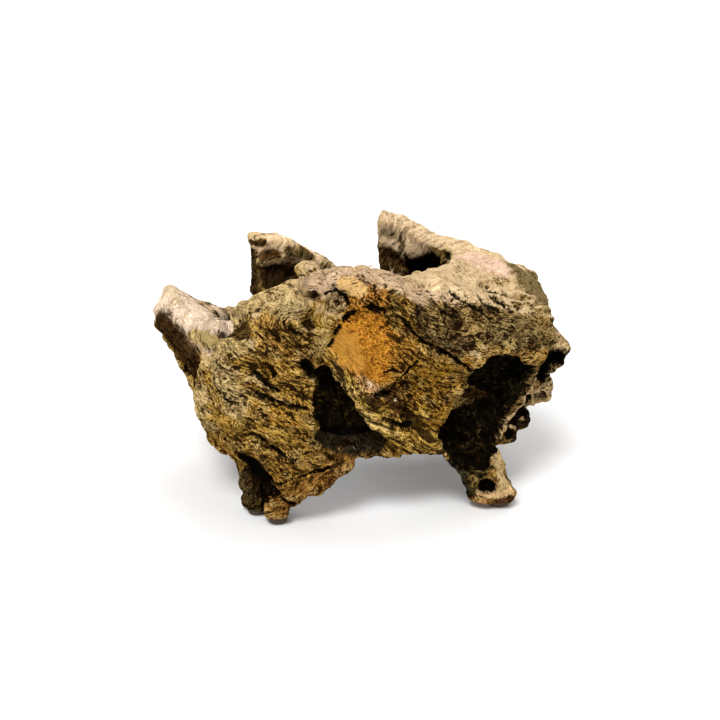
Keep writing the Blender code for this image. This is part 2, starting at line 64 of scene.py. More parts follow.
HOLLOWS = {  # depth (less than zero stands proud), half width, places
    "hollow under the flare's ridge": (4.5, 8, FLARE_HOLLOW),
    "ridge from flare to crest": (-3.0, 5, FLARE_RIDGE),
    "bulge below the crest": (-2.2, 7, [(-38, -57, 102), (-30, -57, 106)]),
    "ridge under the flare": (-2.2, 4, UNDER_FLARE),
    "flare tip": (-3.0, 10, [(-97, 2, 84), (-93, 8, 90)]),
    "flare step": (2.5, 3, [(-77, -27, 65), (-73, -36, 57)]),
    "left bulge upper": (-2.5, 9, [(-62, -55, 74), (-57, -61, 66)]),
    "left bulge lower": (-2.0, 8, [(-63, -56, 52), (-58, -60, 47)]),
    "left edge bulge": (-2.0, 7, [(-71, -45, 56), (-72, -40, 44)]),
    "left valley": (3.0, 5, LEFT_VALLEY),
    "left lower valley": (2.6, 5, LEFT_LOW_VALLEY),
    "left upper hollow": (2.4, 7, [(-34, -64, 91), (-25, -63, 88)]),
    "left round pit": (3.0, 3.0, [(-42, -65, 80), (-38, -67, 76)]),
    "left low pit": (3.0, 2.8, [(-45, -69, 59), (-42, -69, 55)]),
    "left corner pits": (3.0, 2.8, [(-67, -50, 44), (-66, -46, 38), (-62, -54, 39)]),
    "left corner pit": (2.6, 3.0, [(-54, -65, 48), (-47, -67, 44)]),
    "knot by the stub": (1.8, 3.0, [(-20, -56, 110)]),
    "knot on the crest": (1.2, 4.4, [(-9, -57, 108)]),
    "pit on the left": (3.0, 3.8, [(-22, -61, 100), (-22, -62, 96)]),
    "dark patch": (4.0, 5, [(29, -56, 103), (31, -57, 97)]),
    "soft patch": (3.5, 7, [(42, -48, 98), (44, -52, 91)]),
    "step along the long crack": (2.2, 4, [(22, -59, 96), (29, -59, 89), (38, -57, 83), (47, -54, 77)]),
    "groove over the small cave": (3.5, 5, [(-17, -63, 80), (-14, -60, 72), (-12, -58, 66)]),
    "undercut": (3.0, 10, [(-10, -60, 40), (0, -60, 38), (9, -60, 38)]),
    "fibrous ridge": (-3.0, 5, [(-9, -62, 76), (-2, -62, 67), (6, -62, 55), (14, -61, 46), (24, -57, 38)]),
    "scar": (2.0, 12, [(3, -60, 94), (4, -62, 78)]),
    "scar's left lip": (-1.8, 4, [(-14, -60, 98), (-15, -62, 88), (-12, -62, 80)]),
    "furrow beside the scar": (1.2, 2.6, [(15, -57, 107), (15, -59, 101), (15, -60, 94)]),
    "valley right of the ridge": (3.0, 5, [(21, -61, 68), (23, -60, 60), (23, -59, 52)]),
    "ring knot": (-2.4, 6, [(30, -56, 53)]),
    "ledge over the recess": (-3.0, 5, LEDGE),
    "right bulge": (-2.5, 10, [(66, -43, 87), (78, -34, 84)]),
    "foot recess": (6.0, 8, [(-50, -58, 27), (-45, -60, 20)]),
    "lobe in the recess": (-3.0, 7, [(70, -34, 60), (74, -36, 54)]),
    "lip of the recess": (
        -1.6, 1.5, [(86, -21, 58), (81, -28, 55), (80, -25, 47), (75, -32, 43), (69, -35, 41), (67, -38, 33)],
    ),
    "leg's hollow": (2.5, 6, [(58, -52, 26), (59, -53, 19)]),
    "middle knot's hollow": (2.2, 3.5, [(90, -18, 50)]),
    "left horn's hollow": (3.0, 4.5, [(-48, 46, 101)]),
    "left horn's lower hollow": (4.0, 8, [(-46, 46, 92), (-34, 48, 90)]),
    "left horn's second hollow": (2.6, 4, [(-36, 48, 99)]),
    "left horn's band": (-2.5, 3.5, [(-52, 47, 96), (-42, 46, 99), (-33, 48, 101)]),
    "right horn's hollow": (3.5, 5, [(16, 50, 98), (21, 49, 95)]),
    "right horn's pillar": (-3.0, 5, [(26, 46, 104), (27, 47, 96)]),
    "bevel's step": (-2.0, 4, [(37, -28, 112), (37, -38, 108), (38, -46, 104)]),
    "bevel's hollow": (2.0, 8, [(52, -18, 106), (60, -14, 102)]),
}
HOLES = {  # the same, painted black as shade in the holes
    "flare hole": (4.0, 3.5, [(-85, -12, 58)]),
    "small cave": (4.5, 2.6, [(-24, -64, 80), (-21, -64, 75)]),
    "upper knot's hole": (4.5, 6, [(89, -18, 60), (93, -17, 64), (97, -10, 65)]),
    "middle knot's hole": (3.0, 2.5, [(83, -24, 46)]),
    "lower knot's hole": (3.0, 2.8, [(77, -31, 42), (80, -27, 42)]),
    "lowest knot's hole": (3.0, 2.8, [(72, -36, 33)]),
    "rear hole": (6.0, 7, [(31, 44, 92), (38, 36, 98)]),
    "hole in the bevel": (5.0, 3.6, [(44, 24, 106)]),
    "leg's window": (3.0, 3.0, [(59, -46, 12), (63, -46, 12)]),
    "foot's hollow": (0.5, 4.5, [(-54, -55, 31), (-48, -58, 25), (-44, -61, 20)]),
}
CRACKS = {  # depth, half width, places
    "long crack": (
        1.8, 0.8, [(19, -59, 99), (23, -59, 94), (29, -59, 88), (35, -58, 85), (42, -56, 80), (50, -53, 73)],
    ),
    "crack right of the scar": (
        2.0, 1.0, [(26, -60, 79), (22, -61, 75), (18, -62, 71), (14, -63, 66), (10, -63, 65)],
    ),
    "its branch": (1.4, 0.7, [(11, -62, 75), (15, -62, 76), (19, -62, 75)]),
    "hole at its end": (2.4, 2.0, [(8, -63, 64), (12, -63, 65)]),
    "slit over the scar": (3.2, 2.1, [(5, -59, 104), (10, -59, 103)]),
    "scar's edge, top": (2.4, 1.6, [(-6, -59, 99), (-3, -59, 102)]),
    "scar's edge, middle": (2.0, 1.1, [(-11, -60, 93), (-9, -60, 96)]),
    "scar's edge, low": (1.6, 1.0, [(-14, -61, 88), (-12, -61, 90)]),
    "arc over the knot": (2.0, 0.8, [(-15, -56, 110), (-11, -56, 112), (-7, -57, 110), (-5, -58, 106)]),
    "crack over the toe": (
        2.4, 0.8, [(-46, -62, 16), (-40, -64, 19), (-32, -66, 23), (-23, -65, 26), (-14, -64, 29)],
    ),
    "crack down the toe": (1.8, 0.8, [(-42, -64, 19), (-36, -64, 14), (-31, -64, 11)]),
    "crack through the foot": (2.2, 0.9, [(-44, -60, 18), (-45, -59, 12), (-45, -57, 4)]),
    "bevel crack": (1.5, 1.5, [(43, -37, 105), (49, -40, 101), (55, -41, 97), (59, -43, 94)]),
    "bevel cracks": (1.6, 1.7, [(56, -31, 101), (58, -35, 98), (62, -38, 95)]),
    "bevel crack beside": (1.5, 1.5, [(60, -33, 99), (64, -35, 95)]),
    "bevel crack above": (1.5, 1.5, [(64, -23, 97), (68, -24, 95), (71, -28, 93)]),
    "bevel nick": (1.8, 1.2, [(63, -14, 99), (67, -14, 98)]),
    "right nick": (1.4, 0.9, [(84, -16, 89), (87, -18, 87)]),
    "flare's edge": (2.0, 1.2, [(-77, -26, 66), (-75, -31, 61), (-73, -36, 57)]),
    "left crack a": (1.6, 1.0, [(-49, -65, 76), (-43, -67, 72), (-36, -68, 69)]),
    "left crack b": (1.6, 1.0, [(-46, -67, 67), (-39, -69, 64), (-32, -68, 62), (-24, -66, 59)]),
    "left crack c": (1.8, 1.1, [(-68, -50, 46), (-67, -48, 40), (-64, -50, 35)]),
    "left crack d": (1.6, 1.0, [(-45, -67, 42), (-37, -68, 37), (-30, -67, 32)]),
    "left crack e": (1.5, 0.9, [(-66, -52, 72), (-61, -58, 66), (-57, -62, 60)]),
    "left crack f": (1.4, 0.9, [(-31, -63, 95), (-25, -62, 92)]),
    "ledge's crack": (2.0, 1.1, [(52, -52, 73), (60, -47, 74), (70, -42, 74), (80, -34, 73)]),
    "dashes by the ring knot": (1.6, 1.2, [(11, -61, 53), (17, -60, 50), (23, -59, 48)]),
}
KNOTS = [  # place and radius of grain rings
    ((-10, -58, 107), 2.4), ((-20, -56, 109), 2.2), ((-54, -63, 50), 3.4),
    ((70, 44, 72), 4.0), ((-62, 48, 58), 4.0), ((84, 30, 60), 3.5),
]
OUTLINES = {  # cavities painted black as shade, seen from the front: corners as (x, z), and how deep they are sunk
    "recess": (
        3.0,
        [(49, 72), (53, 74), (59, 73), (71, 72), (80, 71), (83, 66), (82, 61), (80, 57), (76, 53), (73, 49),
         (71, 44), (69, 39), (67, 34), (64, 29), (61, 24), (57, 21), (50, 21), (43, 25), (38, 34), (37, 43),
         (43, 46), (50, 49), (60, 52), (60, 55), (51, 57), (50, 63)],
    ),
    "small cave": (
        3.5,
        [(-20, 68), (-19, 77), (-12, 78), (-11, 66), (-6, 63), (-1, 58), (4, 51), (8, 45), (2, 43), (-8, 42),
         (-16, 43), (-20, 48), (-21, 58)],
    ),
}
OUTLINE_REACH = (-75, -20)  # the range of y that an outline works in

CREAM = (0.88, 0.65, 0.42)
GREY_CREAM = (0.50, 0.37, 0.155)
OLIVE = (0.36, 0.215, 0.042)
GREY_OLIVE = (0.20, 0.13, 0.045)
OCHRE = (0.31, 0.165, 0.024)
RED_BROWN = (0.15, 0.065, 0.015)
DARK_BROWN = (0.075, 0.036, 0.010)
BLACK = (0.003, 0.0024, 0.0014)
LIGHT_OCHRE = (0.42, 0.25, 0.045)
LOW_OCHRE = (0.27, 0.14, 0.028)
STRAW = (0.46, 0.34, 0.15)
PALE_OLIVE = (0.44, 0.32, 0.14)
PALE_LIP = (0.62, 0.44, 0.25)
BROWN_LIP = (0.46, 0.32, 0.16)
UMBER = (0.10, 0.055, 0.018)
SOFT_BROWN = (0.10, 0.05, 0.014)
# painted shade inside the chamber
INSIDE_SHADE = (0.035, 0.022, 0.012)
# painted shade in hollows
HOLLOW_SHADE = (0.05, 0.025, 0.008)
BASE_TINTS = [  # angle round the stump and tint of the bark
    (-180, RED_BROWN), (-130, OLIVE), (-85, OLIVE), (-15, OLIVE), (5, OCHRE), (35, OCHRE),
    (50, GREY_OLIVE), (100, GREY_OLIVE), (140, OLIVE), (180, RED_BROWN),
]
PAINT = [  # tint, half width and places, painted in this order
    # flare and left lobe
    ((0.84, 0.66, 0.50), 14, [(-95, 8, 88), (-85, -5, 86), (-76, -20, 85), (-66, -30, 86)]),
    # painted shade: dark on the flare's outer face, which looks down and away, and in the hollow under its
    # ridge
    ((0.045, 0.023, 0.008), 10, [(-96, -3, 76), (-89, -14, 69), (-82, -22, 61)]),
    ((0.11, 0.065, 0.02), 7, FLARE_HOLLOW),
    ((0.52, 0.38, 0.175), 6, [
        (-58, -42, 97), (-50, -46, 101), (-44, -48, 106), (-34, -52, 109), (-27, -55, 108),
    ]),
    ((0.50, 0.37, 0.17), 7, [(-40, -58, 101), (-30, -57, 106)]),
    (GREY_CREAM, 4, UNDER_FLARE),
    # painted highlight: pale olive on the left lobe's bulges
    (PALE_OLIVE, 8, [(-64, -53, 76), (-58, -61, 66), (-55, -62, 60)]),
    (PALE_OLIVE, 7, [(-72, -44, 57), (-71, -42, 42)]),
    ((0.46, 0.24, 0.04), 5, [(-38, -69, 57), (-31, -68, 54)]),
    ((0.40, 0.235, 0.048), 10, [(-38, -66, 84), (-32, -67, 72), (-28, -67, 62)]),
    ((0.36, 0.215, 0.055), 6, [(-43, -60, 97), (-37, -62, 95), (-32, -63, 92), (-26, -63, 90)]),
    ((0.36, 0.20, 0.045), 5, [(-41, -64, 88), (-35, -65, 86), (-29, -65, 82), (-23, -64, 79)]),
    # rim, its knots and the scar
    ((0.62, 0.44, 0.28), 6, [(-20, -52, 114), (-5, -52, 118), (12, -52, 114), (26, -50, 109), (44, -45, 103)]),
    ((0.36, 0.165, 0.03), 7.5, [(-1, -57, 110), (5, -58, 108), (11, -58, 106)]),
    ((0.78, 0.50, 0.20), 4, [(-6, -56, 114), (0, -56, 112)]),
    ((0.20, 0.12, 0.045), 2.4, [(-21, -56, 110), (-19, -56, 108)]),
    ((0.24, 0.17, 0.08), 4.4, [(-9, -57, 108), (-10, -58, 105)]),
    ((0.34, 0.17, 0.028), 8, [(16, -60, 95), (18, -61, 82), (14, -62, 72)]),
    ((0.45, 0.19, 0.022), 12, [(2, -60, 94), (4, -61, 88), (2, -62, 78)]),
    ((0.62, 0.30, 0.05), 6, [(-7, -61, 89), (-3, -62, 79)]),
    ((0.60, 0.36, 0.17), 4.5, [(-1, -62, 70), (2, -63, 68), (6, -64, 66)]),
    ((0.30, 0.165, 0.03), 5, [(20, -57, 105), (22, -58, 100)]),
    ((0.22, 0.145, 0.035), 2.2, [(15, -57, 108), (16, -59, 101), (16, -60, 96)]),
    # right of the scar, and below it
    ((0.135, 0.098, 0.048), 9, [(34, -56, 96), (43, -53, 89)]),
    # painted shade: near black in the two pits right of the scar
    ((0.015, 0.011, 0.007), 4.5, [(28, -56, 101), (31, -56, 98)]),
    ((0.015, 0.012, 0.008), 4.5, [(42, -46, 97), (45, -48, 94)]),
    ((0.42, 0.22, 0.035), 3.5, [(50, -53, 77), (58, -50, 77), (66, -45, 76), (76, -38, 75), (84, -30, 74)]),
    (SOFT_BROWN, 4.5, [(13, -63, 66), (16, -62, 61), (19, -60, 55)]),
    (SOFT_BROWN, 3.5, [(16, -61, 53), (11, -61, 53)]),
    ((0.44, 0.28, 0.045), 3.6, [(29, -57, 54)]),
    ((0.34, 0.215, 0.045), 7, [(-8, -62, 71), (2, -62, 58), (12, -61, 48), (24, -58, 39), (33, -54, 37)]),
    # right lobe, bevel and shoulder
    ((0.26, 0.17, 0.06), 10, [
        (36, -53, 97), (47, -48, 96), (58, -43, 93), (70, -36, 88), (80, -28, 83), (87, -16, 79),
    ]),
    ((0.20, 0.14, 0.055), 6, [(60, -46, 88), (68, -41, 86), (76, -34, 84)]),
    ((0.84, 0.58, 0.42), 7, BEVEL_TOP),
    ((0.21, 0.155, 0.068), 9, RIGHT_SHOULDER),
    # rear horns, left and right
    ((0.90, 0.65, 0.40), 9, [(-52, 46, 108), (-38, 48, 106), (-26, 47, 100)]),
    # painted shade inside the rear wall below the left horn, seen over the rim
    ((0.038, 0.02, 0.008), 8, [(-48, 44, 89), (-40, 46, 87), (-33, 48, 84)]),
    ((0.62, 0.45, 0.25), 2.4, [(-53, 47, 97), (-47, 44, 96), (-40, 47, 96), (-36, 48, 98)]),
    (DARK_BROWN, 1.8, [(-57, 51, 106), (-53, 48, 106), (-50, 44, 107)]),
    ((0.12, 0.065, 0.02), 3.4, [(-50, 45, 100), (-44, 45, 101)]),
    ((0.15, 0.10, 0.035), 3.2, [(-37, 46, 102), (-31, 47, 102), (-26, 47, 99)]),
    ((0.76, 0.56, 0.35), 12, [(13, 50, 117), (20, 49, 111), (30, 42, 109)]),
    ((0.40, 0.30, 0.17), 2.5, [(13, 51, 112), (18, 49, 110)]),
    # painted shade: dark in the right horn's hollow and black in the opening beside it
    (UMBER, 5, [(13, 51, 100), (16, 50, 98), (19, 49, 94)]),
    (BLACK, 6, [(28, 46, 97), (32, 43, 95), (31, 44, 91)]),
    ((0.42, 0.30, 0.15), 2.6, [(23, 47, 109), (23, 47, 104), (22, 48, 98)]),
    # knots at the right edge, and the right foot
    ((0.46, 0.33, 0.17), 8, [(97, -10, 72), (90, -14, 51), (83, -20, 46)]),
    ((0.11, 0.065, 0.03), 4.5, [(97, -12, 68), (99, -8, 66)]),
    # painted shade: near black in the right foot's small hole
    ((0.035, 0.03, 0.014), 6, [(44, -52, 24), (47, -51, 20), (50, -50, 15), (52, -48, 9)]),
    ((0.17, 0.125, 0.04), 4, [(52, -49, 23), (57, -52, 20), (56, -50, 15)]),
    ((0.56, 0.40, 0.20), 4, [(64, -49, 31), (66, -51, 25), (68, -50, 18), (70, -49, 12)]),
    ((0.70, 0.46, 0.24), 2.2, [(57, -49, 9), (61, -49, 8), (65, -51, 9), (71, -49, 9)]),
    ((0.10, 0.045, 0.02), 3.5, [(67, -51, 5), (71, -50, 4)]),
    ((0.30, 0.14, 0.05), 2.5, [(54, -48, 4), (59, -50, 5)]),
    # lips of the recess, black hollows painted as shade, and the last touches
    # painted shade: dark and black inside the recess below its lip and in the lower knot's hole
    ((0.02, 0.013, 0.008), 5, [(81, -28, 41), (78, -31, 37), (75, -35, 33)]),
    (BLACK, 3.2, [(75, -32, 41), (72, -36, 36)]),
    (BROWN_LIP, 1.0, [(76, -32, 42), (79, -30, 39)]),
    (BROWN_LIP, 1.0, [(73, -36, 38), (76, -33, 35)]),
    # painted shade under the undercut, and in the recess under its bridge
    ((0.021, 0.016, 0.009), 8, [(-14, -59, 44), (-6, -58, 40), (6, -58, 39)]),
    ((0.05, 0.027, 0.008), 3.5, [(52, -33, 54), (60, -34, 53)]),
    ((0.74, 0.56, 0.40), 5, [(-73, 14, 80), (-69, 14, 77)]),
    ((0.06, 0.036, 0.012), 5, [(-57, 50, 98), (-57, 50, 80)]),
    # painted shade: black in the foot's hollow and in the upper knot's hole
    (BLACK, 7, [(-50, -58, 28), (-47, -60, 20)]),
    (BLACK, 6, [(88, -19, 59), (92, -18, 63), (97, -10, 65)]),
    (PALE_LIP, 1.0, [(86, -21, 58), (81, -28, 55), (80, -25, 47), (75, -32, 43), (69, -35, 41)]),
    (PALE_LIP, 1.0, [(69, -35, 41), (67, -38, 33), (64, -46, 30)]),
    # small painted highlights below the scar
    ((0.95, 0.82, 0.66), 0.9, [(16, -62, 62)]),
    ((0.90, 0.72, 0.52), 0.9, [(4, -63, 70), (5, -63, 69)]),
]
# the toe's own tint, and the heel painted dark as shade under the body
CASTING_TINTS_AND_SHADE = {"front_left_toe": (0.20, 0.10, 0.023), "front_left_heel": (0.05, 0.036, 0.016)}
SMOOTHED = [  # where the wood is worn smooth: strength, half width, places
    (0.8, 16, [(-52, 46, 104), (-36, 47, 101), (-22, 50, 97)]),
    (0.8, 12, [(-56, 46, 94), (-50, 46, 88)]),
    (-0.8, 6, SCAR_FOOT),
    (0.9, 7, [(-66, -26, 86), (-63, -32, 84)]),
    (0.9, 18, [(14, 50, 114), (24, 46, 108), (34, 38, 104)]),
    (0.8, 8, RIGHT_SHOULDER),
    (0.6, 8, BEVEL_TOP),
    (0.6, 12, [(-97, 2, 84), (-93, 8, 90), (-85, -5, 86)]),
]
DASHED = [  # where short dark dashes crowd: strength, half width, places
    (0.25, 6, LEFT_VALLEY),
    (0.25, 6, [(-46, -67, 67), (-36, -68, 63), (-24, -66, 59)]),
    (0.35, 9, [(-38, -63, 94), (-32, -64, 91), (-25, -63, 88), (-24, -63, 82)]),
    (0.3, 5, SCAR_FOOT),
    (0.3, 6, LEFT_LOW_VALLEY),
    (0.2, 8, [(-62, -58, 38), (-50, -64, 32), (-38, -66, 28)]),
    (0.4, 6, [(21, -61, 68), (23, -60, 60), (22, -59, 52)]),
    (0.45, 7, [(24, -58, 100), (33, -56, 94), (44, -53, 88)]),
    (0.35, 8, [(56, -49, 84), (68, -42, 82), (80, -32, 80)]),
    (0.4, 4.5, [
        (30, -43, 107), (39, -37, 106), (46, -33, 105), (54, -27, 102), (62, -20, 99), (70, -13, 96),
    ]),
    (0.25, 7, [(44, -38, 103), (54, -33, 100), (64, -26, 97), (74, -17, 93)]),
    (-0.6, 8, RIGHT_SHOULDER),
    (-0.3, 8, BEVEL_TOP),
    (-0.4, 11, [(3, -60, 92), (3, -62, 78)]),
    (0.35, 9, [(20, -60, 66), (28, -58, 60), (34, -56, 64)]),
    (0.35, 8, [(-20, -50, 114), (-8, -52, 117)]),
    (0.15, 8, [(2, -52, 117), (20, -50, 111), (30, -46, 108)]),
    (0.3, 7, [(2, -57, 108), (10, -57, 107)]),
    (-0.3, 9, [(-12, -60, 40), (0, -60, 37), (8, -61, 38)]),
    (-0.35, 12, [(-95, 8, 88), (-85, -5, 86), (-76, -20, 85)]),
]
FIBROUS = [  # where the wood is torn into long strands: strength, half width, places
    (1.0, 10, [(-10, -62, 74), (-3, -62, 66), (5, -62, 56), (14, -61, 46), (24, -58, 39), (34, -54, 36)]),
    (0.7, 8, [(-3, -58, 42), (10, -60, 38), (22, -58, 36), (36, -53, 38)]),
    (0.35, 7, FLARE_RIDGE),
    (0.6, 7, [(10, -61, 53), (20, -60, 50), (30, -57, 46), (38, -54, 42)]),
    (0.5, 6, UNDER_FLARE),
    (0.6, 6, [(-30, -66, 26), (-14, -63, 30)]),
    (0.6, 8, [(62, -45, 32), (66, -45, 18), (69, -44, 8)]),
    (0.5, 8, [(20, -58, 104), (22, -60, 92), (26, -59, 80)]),
]


# --- noise -----------------------------------------------------------------------------------------

GRADIENTS = np.random.default_rng(7).normal(size=(256, 3))
GRADIENTS /= np.linalg.norm(GRADIENTS, axis=1)[:, None]
HASH_STEPS = np.array([73856093, 19349663, 83492791])
HASH_SEED_STEP = 2654435761
HASH_MIX = 1274126177
HASH_BITS = 0x7FFFFFFF
NOISE_GAIN = 1.7


def noise(points, seed=0):
    """Smooth gradient noise, about -1 to 1, with cells one unit wide."""
    cell = np.floor(points).astype(np.int64)
    local = points - cell
    fade = local**3 * (local * (local * 6 - 15) + 10)
    total = np.zeros(len(points))
    for corner in itertools.product((0, 1), repeat=3):
        key = (((cell + corner) * HASH_STEPS).sum(axis=1) + seed * HASH_SEED_STEP) & HASH_BITS
        key = ((key ^ (key >> 13)) * HASH_MIX) & HASH_BITS
        gradient = GRADIENTS[(key >> 11) & 255]
        weight = np.prod(np.where(corner, fade, 1 - fade), axis=1)
        total += weight * (gradient * (local - corner)).sum(axis=1)
    return total * NOISE_GAIN


def fractal(points, octaves, seed=0):
    """Noise in octaves, each half as strong and wide as the last."""
    total, size, scale = 0, 1.0, 0.0
    for octave in range(octaves):
        total = total + noise(points / size, seed + octave) * size
        scale += size
        size *= 0.5
    return total / scale


def step_up(low, high, value):
    """0 at low, 1 at high, smooth between."""
    s = np.clip((value - low) / (high - low), 0, 1)
    return s * s * (3 - 2 * s)


# --- meshes ----------------------------------------------------------------------------------------

EASE_IN, EASE_OUT = 0.5, 0.52  # shares of the way to the neighbours' mean


def add_object(name, data):
    obj = bpy.data.objects.new(name, data)
    bpy.context.scene.collection.objects.link(obj)
    return obj


def vertex_array(mesh):
    flat = np.empty(len(mesh.vertices) * 3, np.float32)
    mesh.vertices.foreach_get("co", flat)
    return flat.reshape(-1, 3).astype(float) / MM


def remeshed(obj, voxel):
    modifier = obj.modifiers.new("remesh", "REMESH")
    modifier.mode = "VOXEL"
    modifier.voxel_size = voxel * MM
    bpy.context.view_layer.update()
    graph = bpy.context.evaluated_depsgraph_get()
    mesh = bpy.data.meshes.new_from_object(obj.evaluated_get(graph))
    obj.modifiers.remove(modifier)
    return mesh


def triangles(mesh):
    mesh.calc_loop_triangles()
    flat = np.empty(len(mesh.loop_triangles) * 3, np.int32)
    mesh.loop_triangles.foreach_get("vertices", flat)
    return flat.reshape(-1, 3)


def edges(mesh):
    flat = np.empty(len(mesh.edges) * 2, np.int32)
    mesh.edges.foreach_get("vertices", flat)
    return flat.reshape(-1, 2)


def neighbour_mean(values, pairs):
    count = np.bincount(pairs.ravel(), minlength=len(values))[:, None]
    mean = np.empty_like(values)
    for axis in range(values.shape[1]):
        sums = np.bincount(pairs[:, 0], values[pairs[:, 1], axis], len(values))
        sums += np.bincount(pairs[:, 1], values[pairs[:, 0], axis], len(values))
        mean[:, axis] = sums
    return mean / np.maximum(count, 1)


def averaged(values, pairs, rounds):
    for _ in range(rounds):
        values = neighbour_mean(values, pairs)
    return values


def smoothed(points, pairs, rounds):
    """Smoothing that keeps the volume: each round eases in, then out again."""
    for _ in range(rounds):
        points = points + EASE_IN * (neighbour_mean(points, pairs) - points)
        points = points - EASE_OUT * (neighbour_mean(points, pairs) - points)
    return points


def normals(points, tris):
    a, b, c = (points[tris[:, i]] for i in range(3))
    face = np.cross(b - a, c - a)
    total = np.zeros_like(points)
    for corner in range(3):
        for axis in range(3):
            total[:, axis] += np.bincount(tris[:, corner], face[:, axis], len(points))
    return total / np.maximum(np.linalg.norm(total, axis=1), 1e-9)[:, None]


def store(mesh, name, values):
    """Keeps a number or a vector for each vertex under a name that the material reads."""
    kind, field = ("FLOAT", "value") if values.ndim == 1 else ("FLOAT_VECTOR", "vector")
    layer = mesh.attributes.new(name, kind, "POINT")
    layer.data.foreach_set(field, np.ascontiguousarray(values, np.float32).ravel())


# --- marks and outlines ------------------------------------------------------------------------------

MARK_STEP = 2.0  # between the places of a line that are laid on the skin
OUTSIDE = -9.0  # the depth in an outline of a place that isn't at the front


class Mark:
    """A line laid on the skin, with a half width."""

    def __init__(self, tree, half_width, places):
        self.half_width = half_width
        stops = [np.array(place, float) for place in places]
        line = [stops[0]]
        for a, b in itertools.pairwise(stops):
            steps = max(1, round(np.linalg.norm(b - a) / MARK_STEP))
            line += [a + (b - a) * step / steps for step in range(1, steps + 1)]
        self.line = np.array([tuple(tree.find_nearest(Vector(place))[0]) for place in line])
        if len(self.line) == 1:
            self.line = np.repeat(self.line, 2, axis=0)

    def distance(self, points, widths):
        """(index, distance) of the points within so many half widths of the line."""
        reach = widths * self.half_width
        low, high = self.line.min(axis=0) - reach, self.line.max(axis=0) + reach
        near = np.nonzero(((points > low) & (points < high)).all(axis=1))[0]
        best = np.full(len(near), np.inf)
        for a, b in itertools.pairwise(self.line):
            run = b - a
            offset = points[near] - a
            share = np.clip(offset @ run / max(run @ run, 1e-9), 0, 1)
            best = np.minimum(best, np.linalg.norm(offset - share[:, None] * run, axis=1))
        close = best < reach
        return near[close], best[close]


def soft_share(distance, half_width):
    """1 on the line, easing to 0 at the half width."""
    share = np.clip(1 - (distance / half_width) ** 2, 0, 1)
    return share * share


def zones(skin, points, table):
    """The summed strength of the table's soft-edged zones at each place."""
    total = np.zeros(len(points))
    for strength, half_width, places in table:
        near, distance = Mark(skin.tree, half_width, places).distance(points, 1.5)
        total[near] += strength * soft_share(distance, 1.5 * half_width)
    return total


def outline_depth(x, z, corners):
    """How far inside a closed outline each place is, in mm, less than zero outside."""
    corners = np.array(corners, float)
    inside = np.zeros(len(x), bool)
    best = np.full(len(x), np.inf)
    for (ax, az), (bx, bz) in zip(corners, np.roll(corners, -1, axis=0)):
        crosses = (az > z) != (bz > z)
        at_height = ax + (z - az) * (bx - ax) / (bz - az if bz != az else 1e-9)
        inside ^= crosses & (x < at_height)
        run_x, run_z = bx - ax, bz - az
        share = np.clip(((x - ax) * run_x + (z - az) * run_z) / (run_x**2 + run_z**2), 0, 1)
        best = np.minimum(best, np.hypot(x - ax - share * run_x, z - az - share * run_z))
    return np.where(inside, best, -best)


def outline_edge(points):
    """The noise that makes outlines and hollows ragged."""
    return fractal(points / 5, 2, 25)


def ragged_outline_depth(points, corners, edge):
    """How far inside a ragged outline each place is, in mm; far below zero behind the front."""
    x, y, z = points.T
    front = (y > OUTLINE_REACH[0]) & (y < OUTLINE_REACH[1])
    return np.where(front, outline_depth(x, z, corners) + 1.5 * edge, OUTSIDE)


# --- grain -----------------------------------------------------------------------------------------

WALL_GRAIN = [  # angle round the stump, slope of the grain in degrees
    (-180, -58), (-120, -56), (-90, -52), (-62, -40), (-35, -34), (0, -36), (25, -34), (45, -24),
    (70, -14), (95, -12), (130, -35), (180, -58),
]
GRAIN_LINES = [  # ridges that the grain runs along: half width, places
    (9, [(-68, -33, 89), (-55, -44, 97), (-44, -49, 105), (-34, -51, 109), (-26, -54, 110)]),
    (8, [
        (-13, -62, 82), (-10, -62, 78), (-6, -62, 72), (-2, -62, 63), (4, -62, 54), (12, -60, 46),
        (28, -56, 36),
    ]),
    (5, [(-20, -53, 113), (-11, -53, 115), (2, -53, 117), (18, -51, 112), (36, -43, 104)]),
    (9, [(38, -36, 107), (50, -38, 101), (60, -38, 96), (70, -32, 91)]),
    (5, LEDGE),
]
LIMB_GRAIN = {  # slope of the grain
    "front_left_toe": 38, "front_left_heel": -75, "front_right_foot": -68, "rear_right_foot": -85,
    "rear_left_foot": -85, "rear_left_horn": -55, "rear_right_horn": -60,
}
SWIRLS = [(26, 4.5, 11), (10, 1.0, 12), (4, 0.3, 14)]  # cell, strength and seed of the bends in the grain
KNOT_REACH = 7  # rings' radii within which the grain goes round a knot
GRAIN_RADIUS = 62.0
GRAIN_HEIGHT = 60.0
GRAIN_ANGLES = np.arange(-180.0, 181.0)
GRAIN_SLOPES = np.radians(np.interp(GRAIN_ANGLES, *zip(*WALL_GRAIN)))
GRAIN_DROP = np.cumsum(np.tan(GRAIN_SLOPES)) * math.radians(1) * GRAIN_RADIUS  # height of one grain line
GRAIN_DROP -= GRAIN_DROP[180]


def round_stump(points):
    """The angle round the stump and the distance from its middle."""
    angle = np.degrees(np.arctan2(points[:, 0], -points[:, 1]))
    return angle, np.hypot(points[:, 0], points[:, 1])


